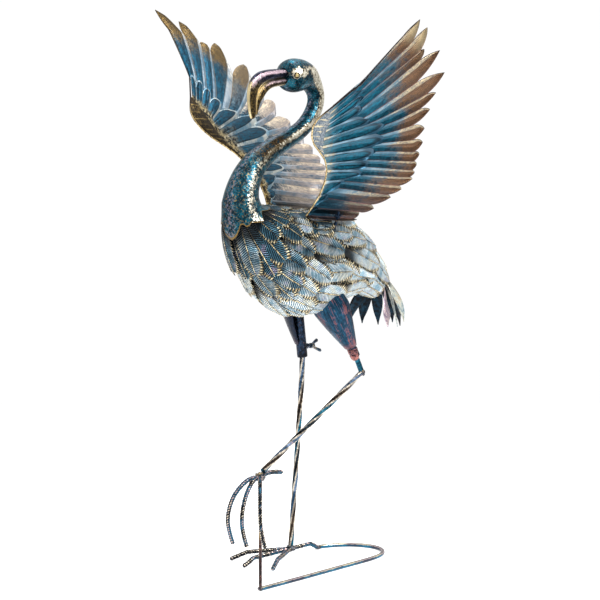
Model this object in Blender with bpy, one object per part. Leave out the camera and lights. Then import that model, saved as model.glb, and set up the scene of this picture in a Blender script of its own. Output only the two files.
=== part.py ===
"""Metal flamingo garden figure: sheet-steel bird on one leg, wings raised, held up by a rod base.

Metres, +Z up. The bird faces -Y, its left side is +X and X = 0 is the plane it is mirrored in.
Places are given as (forward, left, up), measured from that plane and from the standing foot,
and the finished figure is then moved so that the origin is under the middle of its box.
"""

import math

import bmesh
import bpy
from mathutils import Matrix, Vector

# Clearance between pieces that touch, so that the solids stay apart.
GAP = 0.0003

# Body and neck: ribs across the body, from the collar of the neck to the rump.
# Each rib is (top forward, top up, bottom forward, bottom up, half width).
RIBS = (
    (0.141, 0.668, 0.206, 0.668, 0.033),
    (0.134, 0.662, 0.204, 0.640, 0.038),
    (0.124, 0.661, 0.199, 0.609, 0.047),
    (0.115, 0.660, 0.183, 0.574, 0.056),
    (0.106, 0.658, 0.158, 0.540, 0.064),
    (0.095, 0.656, 0.124, 0.506, 0.069),
    (0.075, 0.652, 0.083, 0.471, 0.072),
    (0.035, 0.643, 0.035, 0.456, 0.075),
    (-0.020, 0.638, -0.015, 0.456, 0.072),
    (-0.075, 0.628, -0.064, 0.468, 0.064),
    (-0.130, 0.597, -0.110, 0.480, 0.050),
    (-0.176, 0.554, -0.152, 0.474, 0.036),
    (-0.205, 0.516, -0.184, 0.464, 0.025),
    (-0.225, 0.484, -0.210, 0.458, 0.012),
)
BODY_FULLNESS = 2.25  # exponent of the rib's rounded outline: 2 is an ellipse
FEATHER_DEPTH = 0.006  # how far the feather coat stands proud of the core
COLLAR_RIB = 2.0  # the rib where the neck's skin ends and the feathers start
BODY_SIDES = 16
CORE_INSET = -0.0022  # the core's facets lie this far inside the true surface, under the feathers

# Neck: centre line (forward, up, radius) from the collar to the back of the head.
NECK = (
    (0.168, 0.694, 0.0285),
    (0.155, 0.716, 0.0255),
    (0.135, 0.735, 0.0225),
    (0.106, 0.751, 0.0195),
    (0.075, 0.763, 0.0173),
    (0.046, 0.774, 0.0160),
    (0.015, 0.788, 0.0154),
    (-0.007, 0.806, 0.0151),
    (-0.021, 0.827, 0.0150),
    (-0.023, 0.846, 0.0156),
    (-0.014, 0.864, 0.0178),
)
HEAD_CENTRE = (0.038, 0.883)
HEAD_RADIUS = 0.030
HEAD_MOUTH = 0.0255  # how far in front of the centre the head shell is open for the bill
NECK_SIDES = 12
NECK_CROOK = 9  # half steps along the centre line before which the neck is nearly straight

# Bill: (forward, up, half height, half width) along each half.
BILL_UPPER = (
    (0.0640, 0.8885, 0.0082, 0.0110),
    (0.0900, 0.8878, 0.0076, 0.0098),
    (0.1150, 0.8855, 0.0071, 0.0088),
    (0.1365, 0.8785, 0.0069, 0.0080),
    (0.1475, 0.8622, 0.0066, 0.0072),
    (0.1500, 0.8400, 0.0060, 0.0064),
    (0.1490, 0.8220, 0.0046, 0.0050),
    (0.1465, 0.8110, 0.0020, 0.0026),
)
BILL_LOWER = (
    (0.0640, 0.8718, 0.0066, 0.0092),
    (0.0860, 0.8715, 0.0062, 0.0080),
    (0.1050, 0.8672, 0.0056, 0.0070),
    (0.1220, 0.8552, 0.0050, 0.0060),
    (0.1318, 0.8385, 0.0040, 0.0050),
    (0.1370, 0.8230, 0.0024, 0.0036),
)
BILL_SIDES = 8
EYE_TURN = math.radians(55)  # from straight ahead
EYE_RADIUS = 0.0045
EYE_HEIGHT = 0.0030

# Feather coat: rows of overlapping plates, from the collar to the rump.
ROW_STEPS = (5, 5, 3, 2, 2, 2, 2, 2)  # lengthwise facets: more where the breast curves
ROW_COUNT = len(ROW_STEPS)
ROW_FIRST = 0.003  # distance along the flank from the collar to the first row's roots
ROW_PITCH = 0.046
FEATHER_LENGTH = 0.062
FEATHER_WIDTH = 0.060
PLATE = 0.0010  # thickness of a feather plate in the solid
ROW_NOTCH = 0.40  # how much shorter a row is between two feathers
ROW_BACK_GAP = math.radians(20)  # half angle left bare along the back, under the wings
ROWS_UNDER_WINGS = 6  # the rows behind these go right round

# Tail: pointed blades that hang round the rump.
TAIL_COUNT = 8
TAIL_SPREAD = math.radians(100)
TAIL_ROOT_RIB = 11.75
TAIL_LEAVES_RIB = 12.4
TAIL_TIP_UP = 0.404
TAIL_TIP_CENTRE = -0.168
TAIL_REACH_BACK = 0.087
TAIL_REACH_SIDE = 0.047
TAIL_HALF_WIDTHS = (0.0030, 0.0040, 0.0072, 0.0106, 0.0084, 0.0008)
TAIL_LAP = 0.0036  # every other blade lies this far above its neighbours
TAIL_FOLD = 0.0012  # how far a blade's middle line stands above its edges

# Wings: one pressed sheet each, on a plane that rises outwards and tips up in front.
WING_LEAN = math.radians(52.3)
WING_PITCH = math.radians(9.73)
WING_ROOT = (0.0353, 0.0283, 0.6346)
WING_CROWN = 0.00365
WING_CROWN_AT = 0.254
WING_BOW_RADIUS = 1.866
WING_SHEET = 0.0012
WING_HEM = 0.024
WING_HEM_FALL = 0.004
STUD_SHARE = 0.62  # how far out on the hem the stud stands
ROOF = 0.36  # rise of a feather's middle line as a share of its half width
COVERT_STEP = 0.0022  # how far the covert feathers stand above the flight feathers
ARM_RISE = 0.0030

# Lines across the wing sheet as (span, chord), all from the body side to the leading edge.
LEADING_EDGE = (
    (0.008, 0.019), (0.054, 0.015), (0.103, 0.032), (0.128, 0.060),
    (0.150, 0.101), (0.168, 0.125), (0.194, 0.138), (0.236, 0.121),
)  # fmt: skip
ARM_LINE = (
    (0.010, 0.012), (0.052, 0.009), (0.096, 0.025), (0.122, 0.050),
    (0.146, 0.075), (0.170, 0.091), (0.197, 0.102), (0.228, 0.116),
)  # fmt: skip
COVERT_LINE = (
    (0.014, 0.008), (0.060, -0.010), (0.107, -0.058), (0.146, -0.062),
    (0.192, -0.055), (0.221, 0.000), (0.255, 0.060), (0.292, 0.096),
)  # fmt: skip
# Where two flight feathers part, and the tip of each feather.
SLOTS = (
    (0.018, -0.108), (0.033, -0.110), (0.051, -0.123), (0.076, -0.152),
    (0.098, -0.172), (0.119, -0.186), (0.134, -0.181), (0.153, -0.170),
    (0.173, -0.154), (0.196, -0.128), (0.225, -0.101), (0.260, -0.089),
    (0.294, -0.079), (0.311, -0.031), (0.360, 0.001), (0.378, 0.019),
    (0.391, 0.054), (0.396, 0.086),
)  # fmt: skip
TIPS = (
    (0.027, -0.115), (0.044, -0.145), (0.072, -0.171), (0.092, -0.186),
    (0.117, -0.197), (0.130, -0.192), (0.147, -0.183), (0.170, -0.171),
    (0.195, -0.159), (0.224, -0.138), (0.265, -0.116), (0.301, -0.099),
    (0.345, -0.081), (0.387, -0.026), (0.382, 0.013), (0.426, 0.048),
    (0.438, 0.080),
)  # fmt: skip
FEATHERS = len(TIPS)
# The right wing's first feather is bent forward: added to its tip and its slot.
RIGHT_TIP_BEND = (0.006, 0.020)
RIGHT_SLOT_BEND = (0.0, 0.005)

# Stud and wing nut that hold each wing's hem to the back.
STUD_CHORD = -0.045
STUD_RADIUS = 0.0025
STUD_PROUD = 0.013
NUT_RADIUS = 0.0050
NUT_HEIGHT = 0.0050
NUT_WING_REACH = 0.0095
NUT_WING_THICK = 0.0016
NUT_WING_HEIGHT = 0.0070

# Thighs: conical half shells of sheet round a socket tube.
THIGH_SHEET = 0.0010
RIGHT_THIGH_RADII = (0.0094, 0.038)  # inside the shell, at its lower end and level with the tube's top
LEFT_THIGH_RADII = (0.0112, 0.042)
THIGH_SEGMENTS = 8
SOCKET_RADIUS = 0.0082
SOCKET_BORE = 0.0062
SOCKET_DEPTH = 0.066
SOCKET_SIDES = 14
RIGHT_SOCKET = ((-0.012, -0.038, 0.500), (-0.0305, -0.038, 0.368))
LEFT_SOCKET = ((-0.010, 0.032, 0.500), (-0.0765, 0.050, 0.373))
RIGHT_THIGH_FACES = math.radians(52)
LEFT_THIGH_FACES = math.radians(32)
THIGH_HALF_ARC = math.radians(70)
THIGH_FOOT = 0.014  # the shell stops this far above the end of its socket

# Legs of twisted square bar.
BAR_SIDE = 0.0080
BAR_QUARTER_TURN = 0.046
BAR_RING_STEP = 0.0155
STANDING_LEG = (
    (-0.0298, -0.038, 0.356),
    (-0.0292, -0.038, 0.335),
    (-0.0245, -0.038, 0.285),
    (-0.0145, -0.038, 0.180),
    (-0.0045, -0.038, 0.085),
    (0.0020, -0.038, 0.0195),
)
KNEE = (-0.086, 0.057, 0.342)
ANKLE = (0.217, 0.083, 0.2000)
SHIN_ABOVE_HEEL = 0.0068
SHIN_SHORT = 0.0090
LEG_IN_SOCKET = 0.055

# Feet of ribbed rod.
TOE_RADIUS = 0.0035
TOE_SIDES = 6
TOE_LEVEL = 0.0145
TOE_SPREAD = math.radians(28)
STANDING_REACH = 0.094
STANDING_HOOK = 0.025
MIDDLE_TOE_MORE = 0.004
STANDING_FOOT = (0.002, -0.038)
STANDING_TURN = math.radians(-2.5)
HEEL_REACH = 0.052
HEEL_HOOK = 0.020
RAISED_TURN = math.radians(14)
RAISED_SPREAD = math.radians(28.5)
RAISED_HEEL_TURN = math.radians(8)
HANGING_STEP = 0.018
# A hanging toe: (outwards, back towards the heel, up) from the ankle.
HANGING_TOE = (
    (0.0050, 0.000, 0.000), (0.0180, 0.000, 0.001), (0.0350, 0.000, -0.007), (0.0530, 0.000, -0.025),
    (0.0635, 0.000, -0.048), (0.0670, 0.002, -0.070), (0.0670, 0.009, -0.092), (0.0660, 0.018, -0.112),
)  # fmt: skip
RAISED_HEEL = ((0.0, 0.0, 0.000), (0.018, 0.0, 0.004), (0.040, 0.0, 0.003), (0.068, 0.0, -0.002))

# Rod base: runner on the ground with a bow behind, and the post under the raised foot.
RUNNER_RADIUS = 0.0030
RUNNER_SIDES = 6
RUNNER = (
    (0.219, 0.085), (0.117, 0.089), (0.011, 0.0915), (-0.072, 0.0930),
    (-0.112, 0.085), (-0.136, 0.064), (-0.142, 0.036), (-0.131, 0.004),
    (-0.108, -0.020), (-0.082, -0.034),
)  # fmt: skip
RUNNER_STEP = 0.020
POST_RADIUS = 0.0027

# Thumb screw that clamps the standing leg in its socket.
CLAMP_UP = 0.0195  # above the end of the socket
CLAMP_NUT = 0.0055
CLAMP_NUT_LONG = 0.006
CLAMP_SHANK = 0.0028
CLAMP_REACH = 0.031
CLAMP_WING_REACH = 0.0095
CLAMP_DROOP = 0.08

PAINTS = {
    "teal_steel": ((0.03, 0.20, 0.27), 0.38, 0.8),
    "bronzed_steel": ((0.33, 0.25, 0.12), 0.36, 0.9),
    "feather_steel": ((0.22, 0.30, 0.28), 0.40, 0.8),
    "dark_steel": ((0.05, 0.07, 0.09), 0.42, 0.9),
    "rod_steel": ((0.20, 0.24, 0.25), 0.36, 0.9),
}


def place(forward, left, up):
    """A point of the bird in the model's own axes."""
    return Vector((left, -forward, up))


def clear_scene():
    for old in list(bpy.data.objects):
        bpy.data.objects.remove(old)


def paint(name):
    """The material for one finish, made when it is first asked for."""
    if name in bpy.data.materials:
        return bpy.data.materials[name]
    colour, roughness, metallic = PAINTS[name]
    material = bpy.data.materials.new(name)
    material.use_nodes = True
    shader = material.node_tree.nodes["Principled BSDF"]
    shader.inputs["Base Color"].default_value = (*colour, 1.0)
    shader.inputs["Roughness"].default_value = roughness
    shader.inputs["Metallic"].default_value = metallic
    return material


def add_object(name, bm, finish, smooth=True):
    """Closes a bmesh into a named object with its finish, under the root."""
    bmesh.ops.recalc_face_normals(bm, faces=bm.faces)
    mesh = bpy.data.meshes.new(name)
    bm.to_mesh(mesh)
    bm.free()
    mesh.materials.append(paint(finish))
    if smooth:
        mesh.shade_smooth()
        mesh.set_sharp_from_angle(angle=math.radians(40))
    made = bpy.data.objects.new(name, mesh)
    bpy.context.scene.collection.objects.link(made)
    made.parent = bpy.data.objects.get("figure")
    return made


def add_cutter(name, bm):
    """A tool shape for a Boolean: seen as a wire and left out of the figure."""
    cutter = add_object(name, bm, "dark_steel", smooth=False)
    cutter.hide_render = True
    cutter.display_type = "WIRE"
    return cutter


def cut(target, cutter):
    modifier = target.modifiers.new("cut by " + cutter.name, "BOOLEAN")
    modifier.operation = "DIFFERENCE"
    modifier.solver = "EXACT"
    modifier.object = cutter


def smooth_row(rows, where):
    """Catmull-Rom value at a place counted in rows, for tuples of numbers."""
    last = len(rows) - 1
    where = min(max(where, 0.0), float(last))
    first = min(int(where), last - 1)
    t = where - first
    a = rows[max(first - 1, 0)]
    b = rows[first]
    c = rows[first + 1]
    d = rows[min(first + 2, last)]
    return tuple(
        0.5 * (2 * q + (r - p) * t + (2 * p - 5 * q + 4 * r - s) * t**2 + (3 * q - p - 3 * r + s) * t**3)
        for p, q, r, s in zip(a, b, c, d)
    )


def skin(bm, rings, closed=True):
    """Quads between neighbouring rings of vertices, and a cap on each end ring."""
    for near, far in zip(rings, rings[1:]):
        count = len(near)
        for i in range(count if closed else count - 1):
            j = (i + 1) % count
            bm.faces.new((near[i], near[j], far[j], far[i]))
    if closed:
        bm.faces.new(rings[0])
        bm.faces.new(rings[-1])


def ring_round(bm, centre, across, over, sides, half_across, half_over, turn=0.0):
    """A ring of vertices round a centre, on two axes."""
    ring = []
    for i in range(sides):
        angle = turn + math.tau * i / sides
        offset = across * (half_across * math.cos(angle)) + over * (half_over * math.sin(angle))
        ring.append(bm.verts.new(centre + offset))
    return ring


def frames_along(points):
    """A tangent and two steady cross axes at each point of a path."""
    frames = []
    across = None
    for i, point in enumerate(points):
        ahead = points[min(i + 1, len(points) - 1)]
        behind = points[max(i - 1, 0)]
        tangent = (ahead - behind).normalized()
        if across is None:
            helper = Vector((0, 0, 1)) if abs(tangent.z) < 0.9 else Vector((1, 0, 0))
            across = tangent.cross(helper).normalized()
        across = (across - tangent * across.dot(tangent)).normalized()
        frames.append((point, tangent, across, tangent.cross(across)))
    return frames


def rod(name, points, radius, sides, finish):
    """A round rod along a path of points, with flat ends and one of its flats underneath."""
    bm = bmesh.new()
    turn = math.pi / 2 - math.pi / sides
    rings = [
        ring_round(bm, point, across, over, sides, radius, radius, turn)
        for point, _, across, over in frames_along(points)
    ]
    skin(bm, rings)
    return add_object(name, bm, finish)


def spaced(points, step):
    """Points at even steps along a smooth curve through the given ones."""
    fine_per_row = 24
    rows = [tuple(p) for p in points]
    fine = [
        Vector(smooth_row(rows, i / fine_per_row)) for i in range((len(rows) - 1) * fine_per_row + 1)
    ]
    lengths = [0.0]
    for near, far in zip(fine, fine[1:]):
        lengths.append(lengths[-1] + (far - near).length)
    count = max(1, round(lengths[-1] / step))
    picked = []
    at = 0
    for i in range(count + 1):
        goal = lengths[-1] * i / count
        while at < len(lengths) - 2 and lengths[at + 1] < goal:
            at += 1
        share = (goal - lengths[at]) / max(lengths[at + 1] - lengths[at], 1e-9)
        picked.append(fine[at].lerp(fine[at + 1], min(max(share, 0.0), 1.0)))
    return picked


def twisted_bar(name, points, finish):
    """A square bar twisted evenly along a path."""
    bm = bmesh.new()
    rings = []
    travelled = 0.0
    previous = points[0]
    half_diagonal = BAR_SIDE / math.sqrt(2)
    for point, _, across, over in frames_along(points):
        travelled += (point - previous).length
        previous = point
        turn = math.pi / 4 + travelled / BAR_QUARTER_TURN * math.pi / 2
        rings.append(ring_round(bm, point, across, over, 4, half_diagonal, half_diagonal, turn))
    skin(bm, rings)
    return add_object(name, bm, finish, smooth=False)


# Body, rows of feathers and tail.


def body_point(rib, angle, proud):
    """A place on the body: the rib, the angle from the top towards the left, and how far outwards."""
    top_f, top_u, low_f, low_u, half_width = smooth_row(RIBS, rib)
    centre = place((top_f + low_f) / 2, 0.0, (top_u + low_u) / 2)
    upward = place(top_f - low_f, 0.0, top_u - low_u)
    half_height = upward.length / 2 - FEATHER_DEPTH + proud
    half_width += proud - FEATHER_DEPTH
    share = 2 / BODY_FULLNESS
    rise = math.copysign(abs(math.cos(angle)) ** share, math.cos(angle))
    side = math.copysign(abs(math.sin(angle)) ** share, math.sin(angle))
    return centre + upward.normalized() * (half_height * rise) + Vector((half_width * side, 0, 0))


def rib_at(distance):
    """The rib at a distance along the flank from the collar, by small steps along the ribs' centres."""
    steps_per_rib = 20
    rib = COLLAR_RIB
    travelled = 0.0
    previous = None
    while rib < len(RIBS) - 1:
        top_f, top_u, low_f, low_u, _ = smooth_row(RIBS, rib)
        centre = Vector(((top_f + low_f) / 2, (top_u + low_u) / 2))
        if previous is not None:
            travelled += (centre - previous).length
            if travelled >= distance:
                break
        previous = centre
        rib += 1 / steps_per_rib
    return rib


def body_rings(bm, first, last, proud, sides, steps=2):
    rings = []
    ribs = [first] + [i / steps for i in range(math.ceil(first * steps + 0.5), int(last * steps) + 1)]
    for rib in ribs:
        ring = [bm.verts.new(body_point(rib, math.tau * i / sides, proud)) for i in range(sides)]
        rings.append(ring)
    return rings


def make_body():
    bm = bmesh.new()
    skin(bm, body_rings(bm, COLLAR_RIB + 0.02, len(RIBS) - 1, CORE_INSET, BODY_SIDES, 1))
    return add_object("body_shell", bm, "teal_steel")


def make_body_envelope():
    """The outside of the feather coat with clearance: what meets the body from outside is cut by it."""
    bm = bmesh.new()
    skin(bm, body_rings(bm, COLLAR_RIB, len(RIBS) - 1, FEATHER_DEPTH + GAP, BODY_SIDES * 2))
    return add_cutter("body_envelope", bm)


def row_angles(root_rib, under_wings):
    """Angles of a row's columns, four to a feather, and whether the row is a full ring."""
    _, top_u, _, low_u, half_width = smooth_row(RIBS, root_rib)
    around = math.pi * (half_width + (top_u - low_u) / 2) * 1.02
    gap = ROW_BACK_GAP if under_wings else 0.0
    share = 1 - gap / math.pi
    feathers = max(5, round(around * share / FEATHER_WIDTH))
    columns = feathers * 4
    span = math.tau * share
    count = columns + 1 if under_wings else columns
    return [gap + span * i / columns for i in range(count)], not under_wings


def make_feather_row(index):
    """One row of feather plates as a scalloped collar that lifts towards its tips."""
    distance = ROW_FIRST + ROW_PITCH * index
    root_rib = rib_at(distance)
    angles, full_ring = row_angles(root_rib, index < ROWS_UNDER_WINGS)
    steps = ROW_STEPS[index]
    bm = bmesh.new()
    columns = []
    for i, angle in enumerate(angles):
        # Column 0 of 4 lies between two feathers and column 2 is the rachis.
        across = (1.0, 0.13, 0.0, 0.13)[i % 4]
        length = FEATHER_LENGTH * (1 - ROW_NOTCH * across)
        ridge = (0.0, 0.0002, 0.0008, 0.0002)[i % 4]
        outer = []
        inner = []
        for step in range(steps + 1):
            reach = distance + length * step / steps
            lift = (FEATHER_DEPTH - PLATE - 0.0009) * reach_share(reach - distance)
            rib = rib_at(reach)
            inner.append(bm.verts.new(body_point(rib, angle, GAP + lift + ridge)))
            outer.append(bm.verts.new(body_point(rib, angle, GAP + lift + ridge + PLATE)))
        columns.append(outer + inner[::-1])
    pairs = list(zip(columns, columns[1:]))
    if full_ring:
        pairs.append((columns[-1], columns[0]))
    for near, far in pairs:
        for i in range(len(near)):
            j = (i + 1) % len(near)
            bm.faces.new((near[i], near[j], far[j], far[i]))
    if not full_ring:
        bm.faces.new(columns[0])
        bm.faces.new(columns[-1])
    return add_object(f"feather_row_{index + 1}", bm, "feather_steel")


def reach_share(along):
    return min(1.0, along / FEATHER_LENGTH)


def bezier(points, t):
    points = list(points)
    while len(points) > 1:
        points = [near.lerp(far, t) for near, far in zip(points, points[1:])]
    return points[0]


def make_tail_blade(index):
    """One pointed blade: laid on the rump at its root, then hanging outwards and down."""
    angle = TAIL_SPREAD * (2 * index / (TAIL_COUNT - 1) - 1)
    swing = angle * 0.9
    tip = place(
        TAIL_TIP_CENTRE - TAIL_REACH_BACK * math.cos(swing),
        TAIL_REACH_SIDE * math.sin(swing),
        TAIL_TIP_UP + 0.004 * (index % 2),
    )
    root = body_point(TAIL_ROOT_RIB, angle, GAP + PLATE / 2 + TAIL_FOLD)
    leaves = body_point(TAIL_LEAVES_RIB, angle, 0.0035)
    hub = place(TAIL_TIP_CENTRE, 0.0, TAIL_TIP_UP)
    above = (tip - hub).normalized() * (TAIL_LAP * (index % 2))
    tip += above
    shoulder = Vector((tip.x * 0.95, tip.y * 0.985, 0.455)) + above
    stations = len(TAIL_HALF_WIDTHS)
    middle = [bezier((root, leaves, shoulder, tip), i / (stations - 1)) for i in range(stations)]
    bm = bmesh.new()
    rings = []
    for i, (point, tangent, _, _) in enumerate(frames_along(middle)):
        outwards = point - hub
        outwards.z = 0.0
        outwards = (outwards - tangent * outwards.dot(tangent)).normalized()
        across = tangent.cross(outwards).normalized()
        half = TAIL_HALF_WIDTHS[i]
        fold = outwards * (TAIL_FOLD * min(1.0, half / 0.006))
        skin_half = outwards * (PLATE / 2)
        row = [point - across * half - fold, point, point + across * half - fold]
        rings.append(
            [bm.verts.new(p + skin_half) for p in row] + [bm.verts.new(p - skin_half) for p in row[::-1]]
        )
    skin(bm, rings)
    return add_object(f"tail_feather_{index + 1}", bm, "dark_steel")


# Neck, head and bill.


def make_neck():
    """Neck and head: the body's ribs run up into a tapering tube and end in the round head."""
    bm = bmesh.new()
    rings = []
    for rib in (COLLAR_RIB - 0.02, COLLAR_RIB - 0.5, 1.0, 0.5, 0.0):
        share = rib / COLLAR_RIB
        proud = FEATHER_DEPTH * (0.15 + 0.85 * (1 - share))
        rings.append(
            [bm.verts.new(body_point(rib, math.tau * i / NECK_SIDES, proud)) for i in range(NECK_SIDES)]
        )
    forward, up = HEAD_CENTRE
    line = [(0.174, 0.672, 0.0325), *NECK]
    line += [
        (forward - 0.036, up - 0.0050, 0.0236),
        (forward - 0.019, up - 0.0005, 0.0282),
        (forward, up, HEAD_RADIUS),
        (forward + 0.014, up, 0.0268),
        (forward + 0.0215, up, 0.0212),
        (forward + HEAD_MOUTH, up, 0.0165),
    ]
    places = [0.5] + [i / 2 for i in range(2, 2 * len(NECK)) if i % 2 == 0 or i > NECK_CROOK] + list(range(len(NECK), len(line)))
    stations = [smooth_row(line, at) for at in places]
    points = [place(f, 0.0, u) for f, u, _ in stations]
    sideways = Vector((1, 0, 0))
    for (_, _, radius), (point, tangent, _, _) in zip(stations, frames_along(points)):
        upward = tangent.cross(sideways).normalized()
        ring = []
        for i in range(NECK_SIDES):
            angle = math.tau * i / NECK_SIDES
            ring.append(
                bm.verts.new(point + upward * (radius * math.cos(angle)) + sideways * (radius * math.sin(angle)))
            )
        rings.append(ring)
    skin(bm, rings)
    return add_object("neck_and_head", bm, "teal_steel")


def make_bill_half(name, stations):
    bm = bmesh.new()
    forward, up = HEAD_CENTRE
    points = [place(f, 0.0, u) for f, u, _, _ in stations]
    start = forward + HEAD_MOUTH + GAP
    points[0].y = -start
    sideways = Vector((1, 0, 0))
    rings = []
    for (_, _, half_height, half_width), (point, tangent, _, _) in zip(stations, frames_along(points)):
        if point is points[0]:
            tangent = Vector((0, -1, 0))
        upward = tangent.cross(sideways).normalized()
        rings.append(ring_round(bm, point, sideways, upward, BILL_SIDES, half_width, half_height, math.pi / BILL_SIDES))
    skin(bm, rings)
    return add_object(name, bm, "bronzed_steel")


def make_eye(name, side):
    """A low dome that sits on the side of the head."""
    forward, up = HEAD_CENTRE
    outwards = place(math.cos(EYE_TURN), side * math.sin(EYE_TURN), 0.05).normalized()
    seat = place(forward, 0.0, up) + outwards * (HEAD_RADIUS + GAP)
    bm = bmesh.new()
    across = outwards.cross(Vector((0, 0, 1))).normalized()
    over = outwards.cross(across)
    rings = [
        ring_round(bm, seat + outwards * (EYE_HEIGHT * rise), across, over, 8, EYE_RADIUS * size, EYE_RADIUS * size)
        for rise, size in ((0.0, 1.0), (0.45, 0.88), (0.85, 0.5), (1.0, 0.15))
    ]
    skin(bm, rings)
    return add_object(name, bm, "bronzed_steel")


# Wings.


def wing_point(side, span, chord, lift=0.0):
    """A place on a wing sheet, lifted towards the bird's back side of the wing."""
    bow = WING_CROWN - (span - WING_CROWN_AT) ** 2 / (2 * WING_BOW_RADIUS) + lift
    root_forward, root_out, root_up = WING_ROOT
    out = root_out + span * math.cos(WING_LEAN) - bow * math.sin(WING_LEAN)
    rise = span * math.sin(WING_LEAN) + bow * math.cos(WING_LEAN)
    forward = root_forward + chord * math.cos(WING_PITCH) - rise * math.sin(WING_PITCH)
    up = root_up + chord * math.sin(WING_PITCH) + rise * math.cos(WING_PITCH)
    return place(forward, side * out, up)


def blade_edge(slot, tip, bulge, t):
    """A feather's free edge: from its slot to its tip, bulging to one side."""
    start = Vector(slot)
    end = Vector(tip)
    along = end - start
    middle = (start + end) / 2 + Vector((-along.y, along.x)) * bulge
    return bezier((start, middle, end), t)


def feather_tip(side, feather):
    tip = Vector(TIPS[feather])
    if side < 0 and feather == FEATHERS - 1:
        tip += Vector(RIGHT_TIP_BEND)
    return tip


def edge_rows(side, boundary, feather, free):
    """Places down one edge of a feather: leading edge, arm, coverts twice, slot, and its free part."""
    share = boundary / FEATHERS
    rows = []
    for line in (LEADING_EDGE, ARM_LINE, COVERT_LINE):
        rows.append(Vector(smooth_row(line, share * (len(line) - 1))))
    covert_end = rows[-1]
    slot = Vector(SLOTS[boundary])
    if side < 0 and boundary == FEATHERS:
        slot += Vector(RIGHT_SLOT_BEND)
    rows.append(covert_end.lerp(slot, 0.04))
    rows.append(slot)
    bulge = -0.20 if boundary == feather else 0.20
    tip = feather_tip(side, feather)
    side_step = (Vector(SLOTS[feather + 1]) - Vector(SLOTS[feather])).normalized() * 0.0012
    if boundary == feather:
        side_step = -side_step
    for t in free:
        rows.append(blade_edge(slot, tip, bulge, t) + side_step * (t == free[-1]))
    return rows


def make_wing(name, side):
    """One pressed sheet: roof-shaped feathers side by side, coverts a step above them, free tips."""
    bm = bmesh.new()
    free = (0.5, 1.0)
    shared = 5
    flat_lifts = (0.0, ARM_RISE, COVERT_STEP, 0.0, 0.0, 0.0, 0.0)
    left_edges = {}
    for feather in range(FEATHERS):
        columns = []
        for boundary in (feather, feather + 1):
            places = edge_rows(side, boundary, feather, free)
            column = []
            for row, spot in enumerate(places):
                known = left_edges.get((boundary, row)) if row < shared else None
                if known is None:
                    known = bm.verts.new(wing_point(side, spot.x, spot.y, flat_lifts[row]))
                    if row < shared:
                        left_edges[(boundary, row)] = known
                column.append(known)
            columns.append((column, places))
        (low_column, low_places), (high_column, high_places) = columns
        ridge = []
        for row, (low, high) in enumerate(zip(low_places, high_places)):
            middle = (low + high) / 2
            rise = ROOF * (high - low).length / 2 * (0.25 if row == 0 else 1.0)
            if row == len(low_places) - 1:
                middle = feather_tip(side, feather)
            ridge.append(bm.verts.new(wing_point(side, middle.x, middle.y, flat_lifts[row] + rise)))
        for near, far in ((low_column, ridge), (ridge, high_column)):
            for i in range(len(near) - 1):
                bm.faces.new((near[i], near[i + 1], far[i + 1], far[i]))
    add_hem(bm, side, [left_edges[(0, row)] for row in range(shared)])
    wing = add_object(name, bm, "teal_steel")
    solid = wing.modifiers.new("sheet", "SOLIDIFY")
    solid.thickness = WING_SHEET
    solid.offset = 0.0
    return wing


def add_hem(bm, side, edge):
    """The sheet's lower edge turned outwards, for the stud."""
    fall = Vector((side * WING_HEM, 0, -WING_HEM_FALL))
    outer = [bm.verts.new(v.co + fall * (0.3 if v is edge[-1] else 1.0)) for v in edge]
    for i in range(len(edge) - 1):
        bm.faces.new((edge[i], edge[i + 1], outer[i + 1], outer[i]))


def hem_fold(chord):
    """The span of the fold between the sheet and its hem, at a chord."""
    near_span, near_chord = COVERT_LINE[0]
    far_span, far_chord = SLOTS[0]
    share = (near_chord - chord) / (near_chord - far_chord)
    return near_span + (far_span - near_span) * share


def stud_place(side):
    """Where the stud comes through the hem, and the hem's upward normal."""
    spot = wing_point(side, hem_fold(STUD_CHORD), STUD_CHORD)
    along = wing_point(side, hem_fold(STUD_CHORD), STUD_CHORD + STUD_RADIUS) - spot
    hem = Vector((side * WING_HEM, 0, -WING_HEM_FALL))
    return spot + hem * STUD_SHARE, along.cross(hem).normalized() * side


def cylinder(bm, low, high, radius, sides, radius_high=None):
    """A closed round or tapered bar between two points."""
    points = [low, high]
    radii = [radius, radius if radius_high is None else radius_high]
    rings = [
        ring_round(bm, point, across, over, sides, r, r)
        for r, (point, _, across, over) in zip(radii, frames_along(points))
    ]
    skin(bm, rings)


def make_stud(name, side, envelope):
    """A threaded stud welded upright on the back, through the wing's hem."""
    head, axis = stud_place(side)
    bm = bmesh.new()
    cylinder(bm, head - axis * 0.045, head + axis * STUD_PROUD, STUD_RADIUS, 8)
    stud = add_object(name, bm, "dark_steel")
    cut(stud, envelope)
    return stud


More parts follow.
